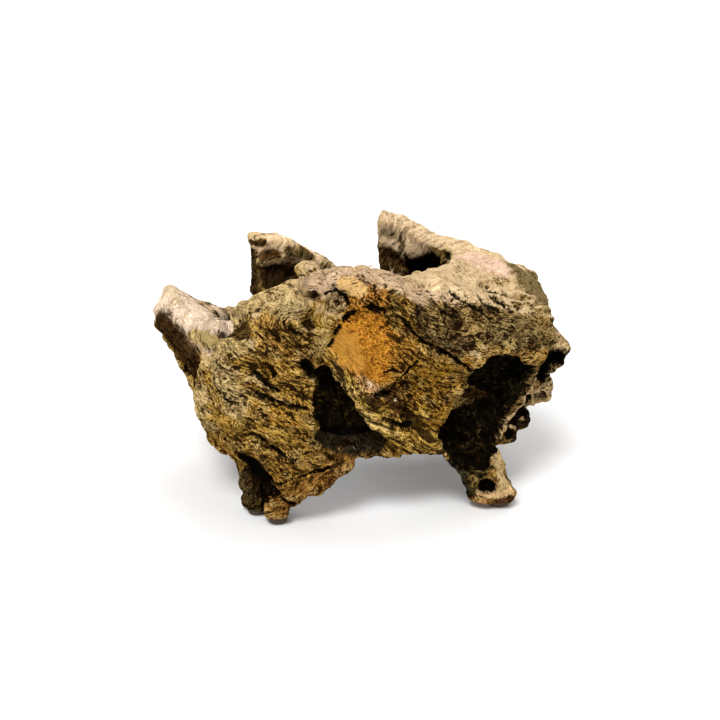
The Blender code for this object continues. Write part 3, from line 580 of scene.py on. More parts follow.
def follow_line(points, across, along, half_width, places):
    """Both grain coordinates, turned so that within the half width the grain runs along a line."""
    outward = points * (1, 1, 0)
    outward /= np.maximum(np.linalg.norm(outward, axis=1), 1)[:, None]
    best = np.full(len(points), np.inf)
    beside, travelled = np.zeros(len(points)), np.zeros(len(points))
    done = 0.0
    for a, b in itertools.pairwise(np.array(places, float)):
        length = np.linalg.norm(b - a)
        run = (b - a) / length
        offset = points - a
        share = np.clip(offset @ run, 0, length)
        offset = offset - share[:, None] * run
        distance = np.linalg.norm(offset, axis=1)
        closer = distance < best
        beside = np.where(closer, (offset * np.cross(outward, run)).sum(axis=1), beside)
        travelled = np.where(closer, done + share, travelled)
        best = np.minimum(best, distance)
        done += length
    near = best < 0.3 * half_width
    if not near.any():
        return across, along
    share = step_up(1.7 * half_width, 0.5 * half_width, best)
    across = across + share * (across[near].mean() + beside - across)
    along = along + share * (along[near].mean() + travelled - 0.5 * done - along)
    return across, along


def swirl_round_knot(points, across, place, ring):
    """Bends the grain lines round a knot, in place, with rings inside it."""
    offset = points - place
    away = np.sqrt((offset**2).sum(axis=1))
    near = away < KNOT_REACH * ring
    centre = across[np.argmin(away)] if near.any() else 0.0
    reach = np.maximum(away[near], 0.1)
    beside = across[near] - centre
    rings = (ring - reach) * 1.2
    across[near] = centre + np.where(reach > ring, beside * (1 - (ring / reach) ** 2), rings)


def grain_coordinates(points, name):
    """Across the grain, along it and into the wood, in mm."""
    angle, radius = round_stump(points)
    sideways = np.radians(angle) * GRAIN_RADIUS
    height = points[:, 2] - GRAIN_HEIGHT
    if name in LIMB_GRAIN:
        slope = np.full(len(points), math.radians(LIMB_GRAIN[name]))
        across = height * np.cos(slope) - sideways * np.sin(slope)
    else:
        slope = np.interp(angle, GRAIN_ANGLES, GRAIN_SLOPES)
        across = height - np.interp(angle, GRAIN_ANGLES, GRAIN_DROP)
    along = sideways * np.cos(slope) + height * np.sin(slope)
    if name not in LIMB_GRAIN:
        for half_width, places in GRAIN_LINES:
            across, along = follow_line(points, across, along, half_width, places)
    for place, ring in KNOTS:
        swirl_round_knot(points, across, place, ring)
    for cell, strength, seed in SWIRLS:
        across = across + strength * noise(points / cell, seed)
    along = along + 3.0 * noise(points / 20, 13)
    return np.stack([across, along, radius], axis=1)


# --- skin: one smooth surface over all castings -------------------------------------------------------

SKIN_VOXEL = 1.1
SKIN_SMOOTHING = 24  # rounds
CAVITY_ROUNDS = 14
CLOSED_ROUNDS = 4
DEEPEST = 6.0  # so that the pins inside the bonds stay covered
THICKEST = 30.0  # taken where a ray into the wood finds no far side
RAY_START = 0.4  # inside the surface
LEAN = 0.9  # of the rays that feel how shut in a place is
LEFT_LOBE = (-105, -80, -26, -8)  # angles: the lumpy left lobe begins, is full, fades, ends
SCAR_CENTRE, SCAR_RADIUS, SCAR_STRETCH = (3, -61, 86), 20, (1, 1, 1.2)
# Noise cells across the grain, along it and into the wood
ROUND_LUMPS, SMALL_LUMPS, LONG_RIDGES = (8, 17, 12), (4.5, 9, 7), (6.5, 30, 16)


def joined_castings():
    verts, faces = [], []
    for name in CASTINGS:
        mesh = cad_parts[name].data
        base = sum(len(v) for v in verts)
        verts.append(vertex_array(mesh))
        faces.append(triangles(mesh) + base)
    mesh = bpy.data.meshes.new("skin")
    mesh.from_pydata((np.concatenate(verts) * MM).tolist(), [], np.concatenate(faces).tolist())
    return add_object("skin", mesh)


class Skin:
    """The smooth surface over all castings, and the same surface with its lumps carved."""

    def __init__(self):
        joined = joined_castings()
        mesh = remeshed(joined, SKIN_VOXEL)
        bpy.data.objects.remove(joined)
        self.tris = triangles(mesh)
        pairs = edges(mesh)
        self.points = smoothed(vertex_array(mesh), pairs, SKIN_SMOOTHING)
        bpy.data.meshes.remove(mesh)
        self.tree = BVHTree.FromPolygons(self.points.tolist(), self.tris.tolist(), all_triangles=True)
        normal = normals(self.points, self.tris)
        carved = self.points + normal * self.lumps(normal)[:, None]
        self.carved = smoothed(carved, pairs, 1)
        self.normal = normals(self.carved, self.tris)
        eased = averaged(self.carved, pairs, CAVITY_ROUNDS)
        self.cavity = ((eased - self.carved) * self.normal).sum(axis=1)
        self.closed = averaged(self.closedness(normal)[:, None], pairs, CLOSED_ROUNDS)[:, 0]

    def lumps(self, normal):
        """Swells, hollows and ridges of 4 mm and more, in mm along the normal."""
        points = self.points
        thickness = self.thickness(normal)
        grain = grain_coordinates(points, "wall")
        angle, _ = round_stump(points)
        begin, full, fade, end = LEFT_LOBE
        left = step_up(end, fade, angle) * step_up(begin, full, angle)
        from_scar = np.linalg.norm((points - SCAR_CENTRE) / SCAR_STRETCH, axis=1)
        calm = (1 - 0.8 * soft_share(from_scar, SCAR_RADIUS)) * step_up(3, 11, thickness)
        calm *= 1 - 0.8 * np.clip(zones(self, points, SMOOTHED), 0, 1)
        rounded = np.abs(noise(grain / ROUND_LUMPS, 21)) + 0.5 * np.abs(noise(grain / SMALL_LUMPS, 22))
        ridged = 1 - 2 * np.abs(noise(grain / LONG_RIDGES, 24))
        height = 1.7 * fractal(points / 28, 2, 23)
        height += (rounded - 0.5) * (1.8 + 2.4 * left) * calm
        height += ridged * 0.9 * (1 - 0.5 * left) * calm
        edge = outline_edge(points)
        for depth, half_width, places in [*HOLLOWS.values(), *HOLES.values()]:
            near, distance = Mark(self.tree, half_width, places).distance(points, 1.6)
            height[near] -= depth * soft_share(distance * (1 + 0.45 * edge[near]), 1.25 * half_width)
        for depth, corners in OUTLINES.values():
            height -= depth * step_up(-0.5, 2.5, ragged_outline_depth(points, corners, edge))
        return np.maximum(height, -np.minimum(0.4 * thickness, DEEPEST))

    def thickness(self, normal):
        """How thick the wood is under each place."""
        total = np.full(len(normal), THICKEST)
        for i, (start, way) in enumerate(zip(self.points - normal * RAY_START, -normal)):
            distance = self.tree.ray_cast(Vector(start), Vector(way))[3]
            if distance is not None:
                total[i] = distance + RAY_START
        return total

    def closedness(self, normal):
        """How shut in each place is, 0 to 1, from five rays off the surface."""
        side = np.cross(normal, (0.3, 0.5, 0.81))
        side /= np.maximum(np.linalg.norm(side, axis=1), 1e-6)[:, None]
        other = np.cross(normal, side)
        total = np.zeros(len(normal))
        for lean, turn in ((0.0, side), (LEAN, side), (-LEAN, side), (LEAN, other), (-LEAN, other)):
            for i, (start, way) in enumerate(zip(self.points + normal * 0.6, normal + lean * turn)):
                distance = self.tree.ray_cast(Vector(start), Vector(way))[3]
                if distance is not None:
                    total[i] += math.exp(-distance / 28)
        return total / 5

    def nearest(self, points):
        """For each point its distance to the skin, and there: place, carved place, normal, and how
        hollow and how shut in the surface is."""
        found = [self.tree.find_nearest(Vector(p)) for p in points]
        place = np.array([tuple(hit[0]) for hit in found])
        tri = self.tris[np.array([hit[2] for hit in found])]
        distance = np.array([hit[3] for hit in found])
        a, b, c = (self.points[tri[:, i]] for i in range(3))
        area = np.cross(b - a, c - a)
        size = np.maximum((area * area).sum(axis=1), 1e-12)
        share_b = (np.cross(place - a, c - a) * area).sum(axis=1) / size
        share_c = (np.cross(b - a, place - a) * area).sum(axis=1) / size
        shares = np.stack([1 - share_b - share_c, share_b, share_c], axis=1)
        carved = (self.carved[tri] * shares[:, :, None]).sum(axis=1)
        normal = (self.normal[tri] * shares[:, :, None]).sum(axis=1)
        normal /= np.maximum(np.linalg.norm(normal, axis=1), 1e-9)[:, None]
        cavity = (self.cavity[tri] * shares).sum(axis=1)
        closed = (self.closed[tri] * shares).sum(axis=1)
        return distance, place, carved, normal, cavity, closed


# --- paint -----------------------------------------------------------------------------------------

REAR = (95, 125)  # angles to either side at which the rear begins and is full


def behind(angle):
    return step_up(*REAR, np.abs(angle))


class Coat:
    """The tint of the wood at each place before its grain, painted over step by step."""

    def __init__(self, points):
        self.points = points
        self.height = points[:, 2]
        self.angle, self.radius = round_stump(points)
        self.broad = fractal(points / 13, 3, 41)
        self.middle = fractal(points / 5, 3, 42)
        self.edge = fractal(points / 2.6, 2, 43)
        angles, tints = zip(*BASE_TINTS)
        self.tint = np.stack([np.interp(self.angle, angles, channel) for channel in zip(*tints)], axis=1)

    def paint(self, share, colour):
        self.tint = self.tint + share[:, None] * (np.array(colour) - self.tint)

    def bark(self):
        """Dark, ochre and grey patches, browner low down, and with more contrast behind."""
        broad, middle, rear = self.broad, self.middle, behind(self.angle)
        self.paint(0.35 * step_up(0.05, 0.4, 0.7 * broad + 0.5 * middle + 0.25 * self.edge), DARK_BROWN)
        self.paint(0.5 * step_up(0.1, 0.5, middle - 0.5 * broad), LIGHT_OCHRE)
        self.paint(0.45 * step_up(0.1, 0.5, -broad + 0.4 * middle), GREY_CREAM)
        self.paint(0.65 * step_up(52, 24, self.height + 9 * broad), LOW_OCHRE)
        self.paint(0.6 * rear * step_up(0.0, 0.35, broad), UMBER)
        self.paint(0.6 * rear * step_up(0.0, 0.35, -broad), STRAW)

    def pale_and_highlight_tops(self, normal, bare):
        """Painted highlight: cream on faces that look up, most of all on the rim, over its real pale wood;
        grey on all that are bare, where they look up.
        """
        lit = normal[:, 2] + 0.45 * self.middle + 0.15 * self.edge
        self.paint(0.8 * step_up(0.5, 0.85, lit) * step_up(60, 84, self.height + 8 * self.broad), CREAM)
        self.paint(0.8 * step_up(0.15, 0.6, lit) * step_up(96, 106, self.height + 5 * self.broad), CREAM)
        if bare:
            self.paint(0.35 * step_up(0.0, 0.6, lit), GREY_CREAM)

    def shade_inside(self, normal):
        # painted shade: dark brown on faces that look inward, inside the chamber below the rim
        inward = -(normal[:, 0] * self.points[:, 0] + normal[:, 1] * self.points[:, 1])
        inward /= np.maximum(self.radius, 1)
        inside = step_up(0.05, 0.5, inward + 0.2 * self.middle)
        self.paint(inside * step_up(100, 86, self.height + 6 * self.broad), INSIDE_SHADE)

    def marks(self, skin):
        for colour, half_width, places in PAINT:
            near, distance = Mark(skin.tree, half_width, places).distance(self.points, 1.6)
            ragged = 0.4 * self.middle[near] + 0.4 * self.edge[near]
            distance = distance + min(half_width, 6) * ragged
            share = np.zeros(len(self.points))
            share[near] = step_up(1.2 * half_width, 0.6 * half_width, distance)
            self.paint(share, colour)

    def shade_by_relief(self, cavity, closed):
        """Painted highlight: grey on what stands proud; painted shade: brown in hollows, black where light
        can't get in.
        """
        self.paint(0.4 * step_up(0.4, 1.3, -cavity) * step_up(0.1, 0.25, self.tint[:, 0]), GREY_CREAM)
        self.paint(0.45 * step_up(0.3, 1.5, cavity + 0.3 * self.middle), HOLLOW_SHADE)
        self.paint(0.9 * step_up(0.22, 0.6, closed + 0.08 * self.middle), BLACK)


def painted_tint(skin, name, points, normal, cavity, closed):
    coat = Coat(points)
    coat.bark()
    # the toe keeps its own tint; the heel gets painted shade
    if name in CASTING_TINTS_AND_SHADE:
        coat.paint(0.95 - 0.15 * step_up(0, 0.5, coat.middle), CASTING_TINTS_AND_SHADE[name])
    coat.pale_and_highlight_tops(normal, bare=name not in CASTING_TINTS_AND_SHADE)
    coat.shade_inside(normal)
    coat.marks(skin)
    coat.shade_by_relief(cavity, closed)
    return coat.tint


def crowding(skin, points):
    """How closely dark dashes stand, 0 to the most."""
    crowd = 0.42 + 0.3 * noise(points / 9, 44) + 0.12 * noise(points / 3.5, 45)
    return np.clip(crowd + zones(skin, points, DASHED), 0, MOST_CROWDED)


# --- carving of one casting ----------------------------------------------------------------------------

CASTING_VOXEL = 0.55
LAID_DEPTHS = (2.0, 0.8)  # a place deeper under the skin isn't laid on it, a shallower one fully
MOVED_DEPTHS = (8.0, 2.0)  # the same for being moved by the carving
BOND_SHADE_DEPTHS = (1.2, 3.0)  # painted shade: bonded faces get darker from the first to the second
FAR = 3.0  # half widths from a line at which its distance is no longer kept
CAVITY_KEPT = 5.0  # how far in or out of a black cavity its depth is kept
MOST_CROWDED = 0.6
# Noise cells across the grain, along it and into the wood
FURROWS, FINE_GRAIN, STRANDS = (4.0, 11, 6), (1.5, 3.2, 2.5), (1.9, 20, 5)
DASHES, LONG_DASHES, PITS = (1.1, 3.6, 2.2), (1.5, 8, 4), (2.2, 3.6, 3)


def carve_grain(points, grain, crowd, plain, torn):
    """Furrows, fine grain, dashes, pits and torn strands: mm along the normal, and how hollow, -1 to 1."""
    furrows = 1 - np.abs(fractal(grain / FURROWS, 3, 31)) * 2.6
    fine = noise(grain / FINE_GRAIN, 32)
    patches = noise(points / 8, 34)
    dashes = step_up(0.66, 0.92, noise(grain / DASHES, 33) + 0.8 * crowd)
    long_dashes = step_up(0.42, 0.7, noise(grain / LONG_DASHES, 36)) * step_up(0.3, -0.2, patches)
    pits = step_up(0.9, 1.1, noise(grain / PITS, 35) + 0.6 * crowd)
    strands = fractal(grain / STRANDS, 2, 61)
    rough = 1 - 0.7 * plain
    height = furrows * 0.3 * rough + fine * 0.12 * rough
    height -= dashes * 0.6 + (long_dashes * 0.7 + pits * 1.0) * rough
    height += 0.6 * strands * torn
    hollow = dashes * 0.8 + (0.8 * long_dashes + pits) * rough
    hollow += (step_up(0.08, 0.3, -strands) - step_up(0.1, 0.4, strands)) * torn
    return height, np.clip(hollow, -1, 1)


def carve_cracks(skin, points, height):
    """Cuts the cracks into the height, in place; returns the half widths to the nearest crack."""
    edge = fractal(points / 2.2, 2, 37)
    bent = points + 0.9 * np.stack([fractal(points / 3.5, 2, seed) for seed in (51, 53, 55)], axis=1)
    nearest = np.full(len(points), FAR)
    for depth, half_width, places in CRACKS.values():
        near, distance = Mark(skin.tree, half_width, places).distance(bent, FAR)
        ragged = np.maximum(distance + 0.6 * half_width * edge[near], 0)
        height[near] -= depth * soft_share(ragged, 1.4 * half_width)
        nearest[near] = np.minimum(nearest[near], distance / half_width)
    return nearest


def hole_distance(skin, points):
    """The half widths to the nearest black hole's line."""
    nearest = np.full(len(points), FAR)
    for _, half_width, places in HOLES.values():
        near, distance = Mark(skin.tree, half_width, places).distance(points, FAR)
        nearest[near] = np.minimum(nearest[near], distance / half_width)
    return nearest


def cavity_depth(points):
    """How far inside the nearest cavity painted black as shade each place is, in mm."""
    edge = outline_edge(points)
    depths = [ragged_outline_depth(points, corners, edge) for _, corners in OUTLINES.values()]
    return np.clip(np.max(depths, axis=0), -CAVITY_KEPT, CAVITY_KEPT)


def wood_object(mesh, **attributes):
    """An object of the mesh's name, with the attributes and the material of wood."""
    for name, values in attributes.items():
        store(mesh, name, values)
    mesh.shade_smooth()
    mesh.update()
    mesh.materials.append(wood_material())
    return add_object(mesh.name, mesh)


def carved_casting(name, skin):
    mesh = remeshed(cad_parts[name], CASTING_VOXEL)
    mesh.name = name + "_carved"
    mesh.materials.clear()
    start = vertex_array(mesh)
    depth, place, carved, normal, cavity, closed = skin.nearest(start)
    grain = grain_coordinates(place, name)
    tint = painted_tint(skin, name, place, normal, cavity, closed)
    pale = tint.max(axis=1)
    crowd = crowding(skin, place) - 0.3 * step_up(0.4, 0.7, pale) + 0.3 * step_up(0.2, 1.2, cavity)
    plain = np.clip(step_up(0.35, 0.62, pale) + zones(skin, place, SMOOTHED), 0, 1)
    angle, _ = round_stump(place)
    torn = np.clip(0.15 + 0.35 * behind(angle) + zones(skin, place, FIBROUS), 0, 1)
    height, hollow = carve_grain(place, grain, crowd, plain, torn)
    crack = carve_cracks(skin, place, height)
    laid = step_up(*LAID_DEPTHS, depth)[:, None]
    moved = step_up(*MOVED_DEPTHS, depth)[:, None]
    points = start + laid * (place - start) + moved * (carved - place + normal * height[:, None])
    mesh.vertices.foreach_set("co", (points * MM).astype(np.float32).ravel())
    # painted shade darkens the faces deep under the skin, in the bonds between castings
    tint *= (1 - 0.9 * step_up(*BOND_SHADE_DEPTHS, depth))[:, None]
    obj = wood_object(
        mesh,
        grain=grain,
        tint=tint,
        wear=np.stack([hollow, plain, crowd], axis=1),
        fibre=torn,
        lines=np.stack([crack, hole_distance(skin, place), cavity_depth(place)], axis=1),
    )
    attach(obj, "root")
    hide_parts(name)


# --- splinters -----------------------------------------------------------------------------------------

RIM_LINE = [(-27, -50, 112), (-16, -50, 117), (-4, -50, 119), (8, -50, 117), (20, -49, 112), (33, -45, 107)]
RIM_STEPS = 200
SPLINTERS_ON_RIM = 70
SPLINTER_LENGTHS = (2.0, 6.5)
SPLINTER_RADII = (0.14, 0.32)
SPLINTER_RINGS = 5
SPLINTER_SIDES = 3
LONE_SPLINTERS = [  # start, way, length and radius: two hairs on the rim, then the left horn's beak
    ((13, -49, 115), (0.35, 0, 1), 6, 0.5), ((15, -49, 114), (0.7, 0, 0.8), 5, 0.4),
    ((-54, 52, 109), (-1, 0, 0.15), 6, 2.0), ((-54, 51, 107), (-1, 0, -0.4), 5, 1.0),
]
LONE_BEND = (0.1, 0.1, -0.3)


def strand(verts, faces, start, way, bend, length, radius):
    """A thin tapered fibre with a point, as closed rings."""
    way = way / np.linalg.norm(way)
    side = np.cross(way, bend)
    side /= np.linalg.norm(side)
    base = len(verts)
    for ring in range(SPLINTER_RINGS):
        share = ring / (SPLINTER_RINGS - 1)
        middle = start + way * length * share + bend * length * share**2 * 0.5
        for corner in range(SPLINTER_SIDES):
            turn = 2 * math.pi * corner / SPLINTER_SIDES
            spoke = side * math.cos(turn) + np.cross(side, way) * math.sin(turn)
            verts.append(middle + spoke * radius * (1.05 - share))
    faces.append(tuple(range(base, base + SPLINTER_SIDES)))
    for ring in range(SPLINTER_RINGS - 1):
        for corner in range(SPLINTER_SIDES):
            a = base + ring * SPLINTER_SIDES + corner
            b = base + ring * SPLINTER_SIDES + (corner + 1) % SPLINTER_SIDES
            faces.append((a, a + SPLINTER_SIDES, b + SPLINTER_SIDES, b))
    faces.append(tuple(reversed(range(len(verts) - SPLINTER_SIDES, len(verts)))))


def splinters(skin):
    """Torn fibres along the front rim and on the left horn's tip."""
    random = np.random.default_rng(12)
    verts, faces = [], []
    line = np.array(RIM_LINE, float)
    shares = np.linspace(0, len(line) - 1, RIM_STEPS)
    fine = np.stack([np.interp(shares, range(len(line)), line[:, axis]) for axis in range(3)], axis=1)
    for _ in range(SPLINTERS_ON_RIM):
        i = random.integers(2, len(fine) - 2)
        rim = fine[i + 1] - fine[i - 1]
        rim /= np.linalg.norm(rim)
        start = np.array(tuple(skin.tree.find_nearest(Vector(fine[i] + random.normal(0, 1.6, 3)))[0]))
        way = rim * random.choice((-1, 1)) + np.array([0, random.normal(0, 0.25), random.uniform(0.1, 0.9)])
        bend = np.array([random.normal(0, 0.4), random.normal(0, 0.4), random.normal(0.1, 0.4)])
        length, radius = random.uniform(*SPLINTER_LENGTHS), random.uniform(*SPLINTER_RADII)
        strand(verts, faces, start, way, bend, length, radius)
    for start, way, length, radius in LONE_SPLINTERS:
        strand(verts, faces, np.array(start, float), np.array(way, float), np.array(LONE_BEND), length, radius)
    points = np.array(verts)
    mesh = bpy.data.meshes.new("rim_splinters")
    mesh.from_pydata((points * MM).tolist(), [], faces)
    obj = wood_object(
        mesh,
        grain=grain_coordinates(points, "wall"),
        tint=np.tile(CREAM, (len(points), 1)),
        wear=np.tile((0.0, 1.0, 0.0), (len(points), 1)),
        fibre=np.ones(len(points)),
        lines=np.tile((FAR, FAR, -CAVITY_KEPT), (len(points), 1)),
    )
    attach(obj, "root")


# --- materials -------------------------------------------------------------------------------------------

TINT_GAIN = (1.9, 1.9, 1.9)
FLECK_GAIN = (2.3, 2.3, 2.4)
DUST = (0.62, 0.50, 0.32)
DASH_BROWN = (0.012, 0.005, 0.002)
ROUGH_SHADES = [  # place on the ramp, colour
    (0.0, (0.05, 0.03, 0.02)), (0.32, (0.26, 0.21, 0.15)), (0.62, (0.60, 0.58, 0.53)), (1.0, (1.0, 1.0, 1.0)),
]
SMOOTH_SHADES = [(0.0, (0.26, 0.21, 0.16)), (0.35, (0.46, 0.44, 0.41)), (1.0, (0.66, 0.66, 0.66))]


class Nodes:
    """Short calls for building a material's nodes."""

    def __init__(self, name):
        self.material = bpy.data.materials.new(name)
        self.material.use_nodes = True
        self.tree = self.material.node_tree
        self.shader = self.tree.nodes["Principled BSDF"]

    def node(self, kind, **settings):
        node = self.tree.nodes.new(kind)
        for key, value in settings.items():
            setattr(node, key, value)
        return node

    def link(self, value, socket):
        if isinstance(value, (int, float, tuple)):
            socket.default_value = value
        else:
            self.tree.links.new(value, socket)

    def attribute(self, name, output="Vector"):
        return self.node("ShaderNodeAttribute", attribute_name=name).outputs[output]

    def parts(self, vector):
        node = self.node("ShaderNodeSeparateXYZ")
        self.link(vector, node.inputs[0])
        return node.outputs

    def times(self, vector, factors):
        node = self.node("ShaderNodeVectorMath", operation="MULTIPLY")
        self.link(vector, node.inputs[0])
        self.link(factors, node.inputs[1])
        return node.outputs[0]

    def noise(self, vector, scale=1.0, detail=2.0, roughness=0.5):
        node = self.node("ShaderNodeTexNoise")
        self.link(vector, node.inputs["Vector"])
        node.inputs["Scale"].default_value = scale
        node.inputs["Detail"].default_value = detail
        node.inputs["Roughness"].default_value = roughness
        return node.outputs["Fac"]

    def math(self, operation, a, b):
        node = self.node("ShaderNodeMath", operation=operation)
        self.link(a, node.inputs[0])
        self.link(b, node.inputs[1])
        return node.outputs[0]

    def plus(self, a, b):
        return self.math("ADD", a, b)

    def minus(self, a, b):
        return self.math("SUBTRACT", a, b)

    def product(self, a, b):
        return self.math("MULTIPLY", a, b)

    def larger(self, a, b):
        return self.math("MAXIMUM", a, b)

    def between(self, share, first, second):
        """One number at share 0, the other at 1."""
        return self.plus(first, self.product(share, self.minus(second, first)))

    def span(self, value, low, high, to_low=0.0, to_high=1.0):
        """A value's way from low to high as a share, kept between its ends."""
        node = self.node("ShaderNodeMapRange", interpolation_type="SMOOTHSTEP")
        for socket, number in zip(node.inputs, (value, low, high, to_low, to_high)):
            self.link(number, socket)
        return node.outputs[0]

    def ramp(self, value, stops):
        node = self.node("ShaderNodeValToRGB")
        self.link(value, node.inputs[0])
        elements = node.color_ramp.elements
        while len(elements) < len(stops):
            elements.new(1.0)
        for element, (position, colour) in zip(elements, stops):
            element.position = position
            element.color = (*colour, 1)
        return node.outputs["Color"]

    def mix(self, share, first, second):
        node = self.node("ShaderNodeMix", data_type="RGBA")
        self.link(share, node.inputs[0])
        self.link(first, node.inputs[6])
        self.link(second, node.inputs[7])
        return node.outputs[2]

    def bump(self, height, strength, distance):
        node = self.node("ShaderNodeBump")
        self.link(height, node.inputs["Height"])
        node.inputs["Strength"].default_value = strength
        node.inputs["Distance"].default_value = distance
        return node.outputs["Normal"]


@functools.cache
def wood_material():
    n = Nodes("carved_wood")
    grain = n.attribute("grain")
    hollow, plain, crowd = n.parts(n.attribute("wear"))
    crack, hole, inside = n.parts(n.attribute("lines"))

    def grained(scales, detail, roughness=0.5):
        """Noise with so many cells per mm across the grain, along it and into the wood."""
        return n.noise(n.times(grain, scales), detail=detail, roughness=roughness)

    speckles = grained((0.9, 0.55, 0.5), 5, 0.75)
    streaks = grained((0.9, 0.26, 0.3), 5, 0.7)
    streaks = n.between(n.attribute("fibre", "Fac"), speckles, streaks)
    mottle = grained((0.3, 0.2, 0.25), 3, 0.6)
    grit = grained((2.2, 1.1, 1.5), 2, 0.7)
    tone = n.plus(n.plus(n.product(streaks, 0.45), n.product(grit, 0.35)), n.product(mottle, 0.2))
    rough_shade = n.ramp(n.span(tone, 0.42, 0.58), ROUGH_SHADES)
    smooth_shade = n.ramp(n.span(tone, 0.39, 0.61), SMOOTH_SHADES)
    colour = n.times(n.mix(plain, rough_shade, smooth_shade), n.times(n.attribute("tint"), TINT_GAIN))

    # pale flecks, and pale dust
    fleck = n.product(n.span(grained((1.9, 0.65, 0.7), 1), 0.66, 0.71), 0.5)
    fleck = n.larger(fleck, n.product(n.span(hollow, -0.2, -0.9), 0.5))
    colour = n.mix(fleck, colour, n.times(colour, FLECK_GAIN))
    dust = n.product(n.span(grained((2.6, 1.7, 2.0), 1), 0.73, 0.76), 0.5)
    colour = n.mix(dust, colour, (*DUST, 1))

    # dark dashes, more of them where they crowd, and dark pits
    crowded = n.product(crowd, 0.3)
    broken = n.span(n.plus(grained((1.3, 0.6, 0.5), 2, 0.6), crowded), 0.755, 0.775)
    strokes = n.span(n.plus(grained((1.1, 0.24, 0.28), 4, 0.55), crowded), 0.735, 0.755)
    dark = n.product(n.larger(broken, strokes), n.span(plain, 0.0, 1.0, 0.95, 0.9))
    dark = n.larger(dark, n.product(n.span(hollow, 0.2, 0.8), 0.9))
    colour = n.mix(dark, colour, (*DASH_BROWN, 1))

    # painted shade: black in cracks, holes and smudged cavities, all with ragged edges
    ragged = n.minus(grained((1.3, 0.8, 1.0), 3, 0.7), 0.5)
    crack = n.span(n.plus(crack, n.product(ragged, 3.0)), 1.0, 0.8)
    hole = n.span(n.plus(hole, n.product(ragged, 1.2)), 1.0, 0.85)
    inside = n.span(n.plus(inside, n.product(ragged, 6.0)), -0.2, 0.3)
    inside = n.product(inside, n.span(grained((0.35, 0.25, 0.3), 4, 0.7), 0.5, 0.64, 0.98, 0.8))
    black = n.product(n.larger(crack, hole), 0.97)
    colour = n.mix(n.larger(inside, black), colour, (*BLACK, 1))

    height = n.plus(n.product(grit, 0.4), n.product(tone, 1.2))
    height = n.minus(height, n.product(n.larger(dark, black), 0.5))
    n.link(colour, n.shader.inputs["Base Color"])
    n.link(n.bump(height, 0.9, 0.0009), n.shader.inputs["Normal"])
    n.shader.inputs["Roughness"].default_value = 0.85
    n.shader.inputs["Specular IOR Level"].default_value = 0.0
    return n.material


def plain_material(name, colour, roughness):
    """One colour with fine dark speckles."""
    n = Nodes(name)
    place = n.node("ShaderNodeTexCoord").outputs["Object"]
    speckle = n.noise(place, scale=900.0, detail=3)
    darker = tuple(channel * 0.7 for channel in colour)
    n.link(n.ramp(speckle, [(0.3, darker), (0.7, colour)]), n.shader.inputs["Base Color"])
    n.shader.inputs["Roughness"].default_value = roughness
    n.link(n.bump(speckle, 0.3, 0.0002), n.shader.inputs["Normal"])
    return n.material


# --- stage, in metres --------------------------------------------------------------------------------------

CAMERA_TARGET = Vector((0.0002, -0.0008, 0.0586))
CAMERA_DISTANCE = 0.6
CAMERA_RISE = math.radians(20)
LENS = 60.0
FLOOR_HALF = 6.0
FLOOR_COLOUR = (0.95, 0.95, 0.95, 1)
WORLD_LIGHT = 0.6
WORLD_SEEN = 1.0


def aimed(name, data, place, target):
    obj = add_object(name, data)
    obj.location = place
    obj.rotation_mode = "QUATERNION"
    obj.rotation_quaternion = (target - place).to_track_quat("-Z", "Y")
    return obj


def camera():
    data = bpy.data.cameras.new("camera")
    data.lens = LENS
    data.clip_start = 0.01
    back = Vector((0, -math.cos(CAMERA_RISE), math.sin(CAMERA_RISE)))
    place = CAMERA_TARGET + back * CAMERA_DISTANCE
    bpy.context.scene.camera = aimed("camera", data, place, CAMERA_TARGET)


def sun(name, place, strength, softness):
    data = bpy.data.lights.new(name, "SUN")
    data.energy = strength
    data.angle = math.radians(softness)
    aimed(name, data, Vector(place), Vector((0, 0, 0)))


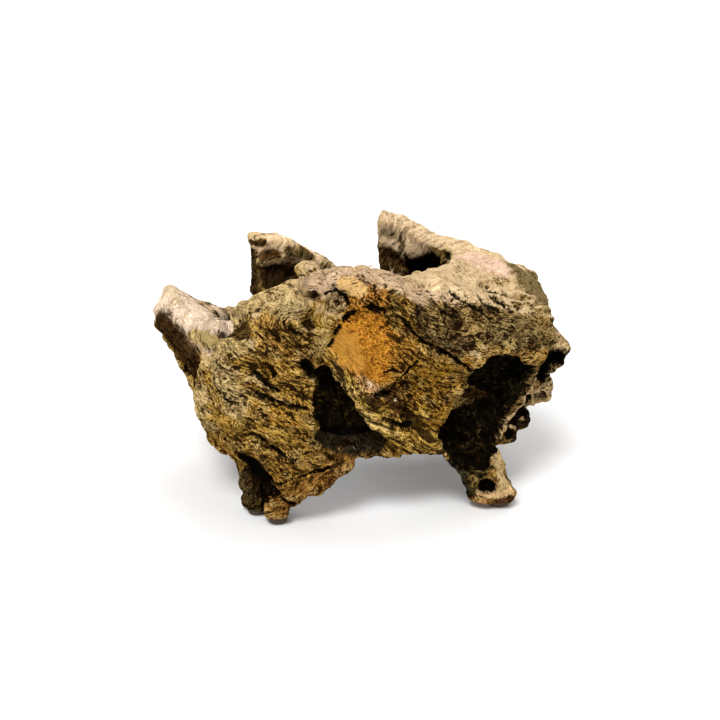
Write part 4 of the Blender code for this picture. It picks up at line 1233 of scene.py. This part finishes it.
def studio_world():
    """White behind everything, and a softer light from all round."""
    world = bpy.data.worlds.new("studio")
    bpy.context.scene.world = world
    world.use_nodes = True
    tree = world.node_tree
    background = tree.nodes["Background"]
    background.inputs["Color"].default_value = (1, 1, 1, 1)
    seen = tree.nodes.new("ShaderNodeLightPath").outputs["Is Camera Ray"]
    strength = tree.nodes.new("ShaderNodeMapRange")
    tree.links.new(seen, strength.inputs["Value"])
    strength.inputs["To Min"].default_value = WORLD_LIGHT
    strength.inputs["To Max"].default_value = WORLD_SEEN
    tree.links.new(strength.outputs[0], background.inputs["Strength"])


def stage():
    scene = bpy.context.scene
    scene.view_settings.view_transform = "Standard"
    scene.view_settings.look = "None"
    studio_world()
    sun("key", (-0.3, -0.75, 1.3), strength=2.1, softness=25)
    sun("back", (0.4, 0.7, 1.4), strength=0.7, softness=40)
    mesh = bpy.data.meshes.new("floor")
    corners = [(x * FLOOR_HALF, y * FLOOR_HALF, 0) for x, y in ((-1, -1), (1, -1), (1, 1), (-1, 1))]
    mesh.from_pydata(corners, [], [(0, 1, 2, 3)])
    floor = add_object("floor", mesh)
    n = Nodes("floor")
    n.shader.inputs["Base Color"].default_value = FLOOR_COLOUR
    n.shader.inputs["Roughness"].default_value = 0.9
    mesh.materials.append(n.material)


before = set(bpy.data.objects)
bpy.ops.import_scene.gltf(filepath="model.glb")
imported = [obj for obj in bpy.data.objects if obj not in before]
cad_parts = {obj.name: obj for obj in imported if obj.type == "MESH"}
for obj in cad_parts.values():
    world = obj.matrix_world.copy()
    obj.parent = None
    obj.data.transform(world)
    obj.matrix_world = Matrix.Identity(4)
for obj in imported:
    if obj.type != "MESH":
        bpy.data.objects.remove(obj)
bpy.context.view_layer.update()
camera()
stage()
skin = Skin()
for casting in CASTINGS:
    carved_casting(casting, skin)
splinters(skin)
silicone = plain_material("silicone", (0.08, 0.05, 0.025), 0.7)
acrylic = plain_material("smoked_acrylic", (0.03, 0.025, 0.02), 0.2)
for name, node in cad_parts.items():
    if name not in CASTINGS:
        node.data.materials.clear()
        node.data.materials.append(silicone if name.startswith("foot_pad") else acrylic)
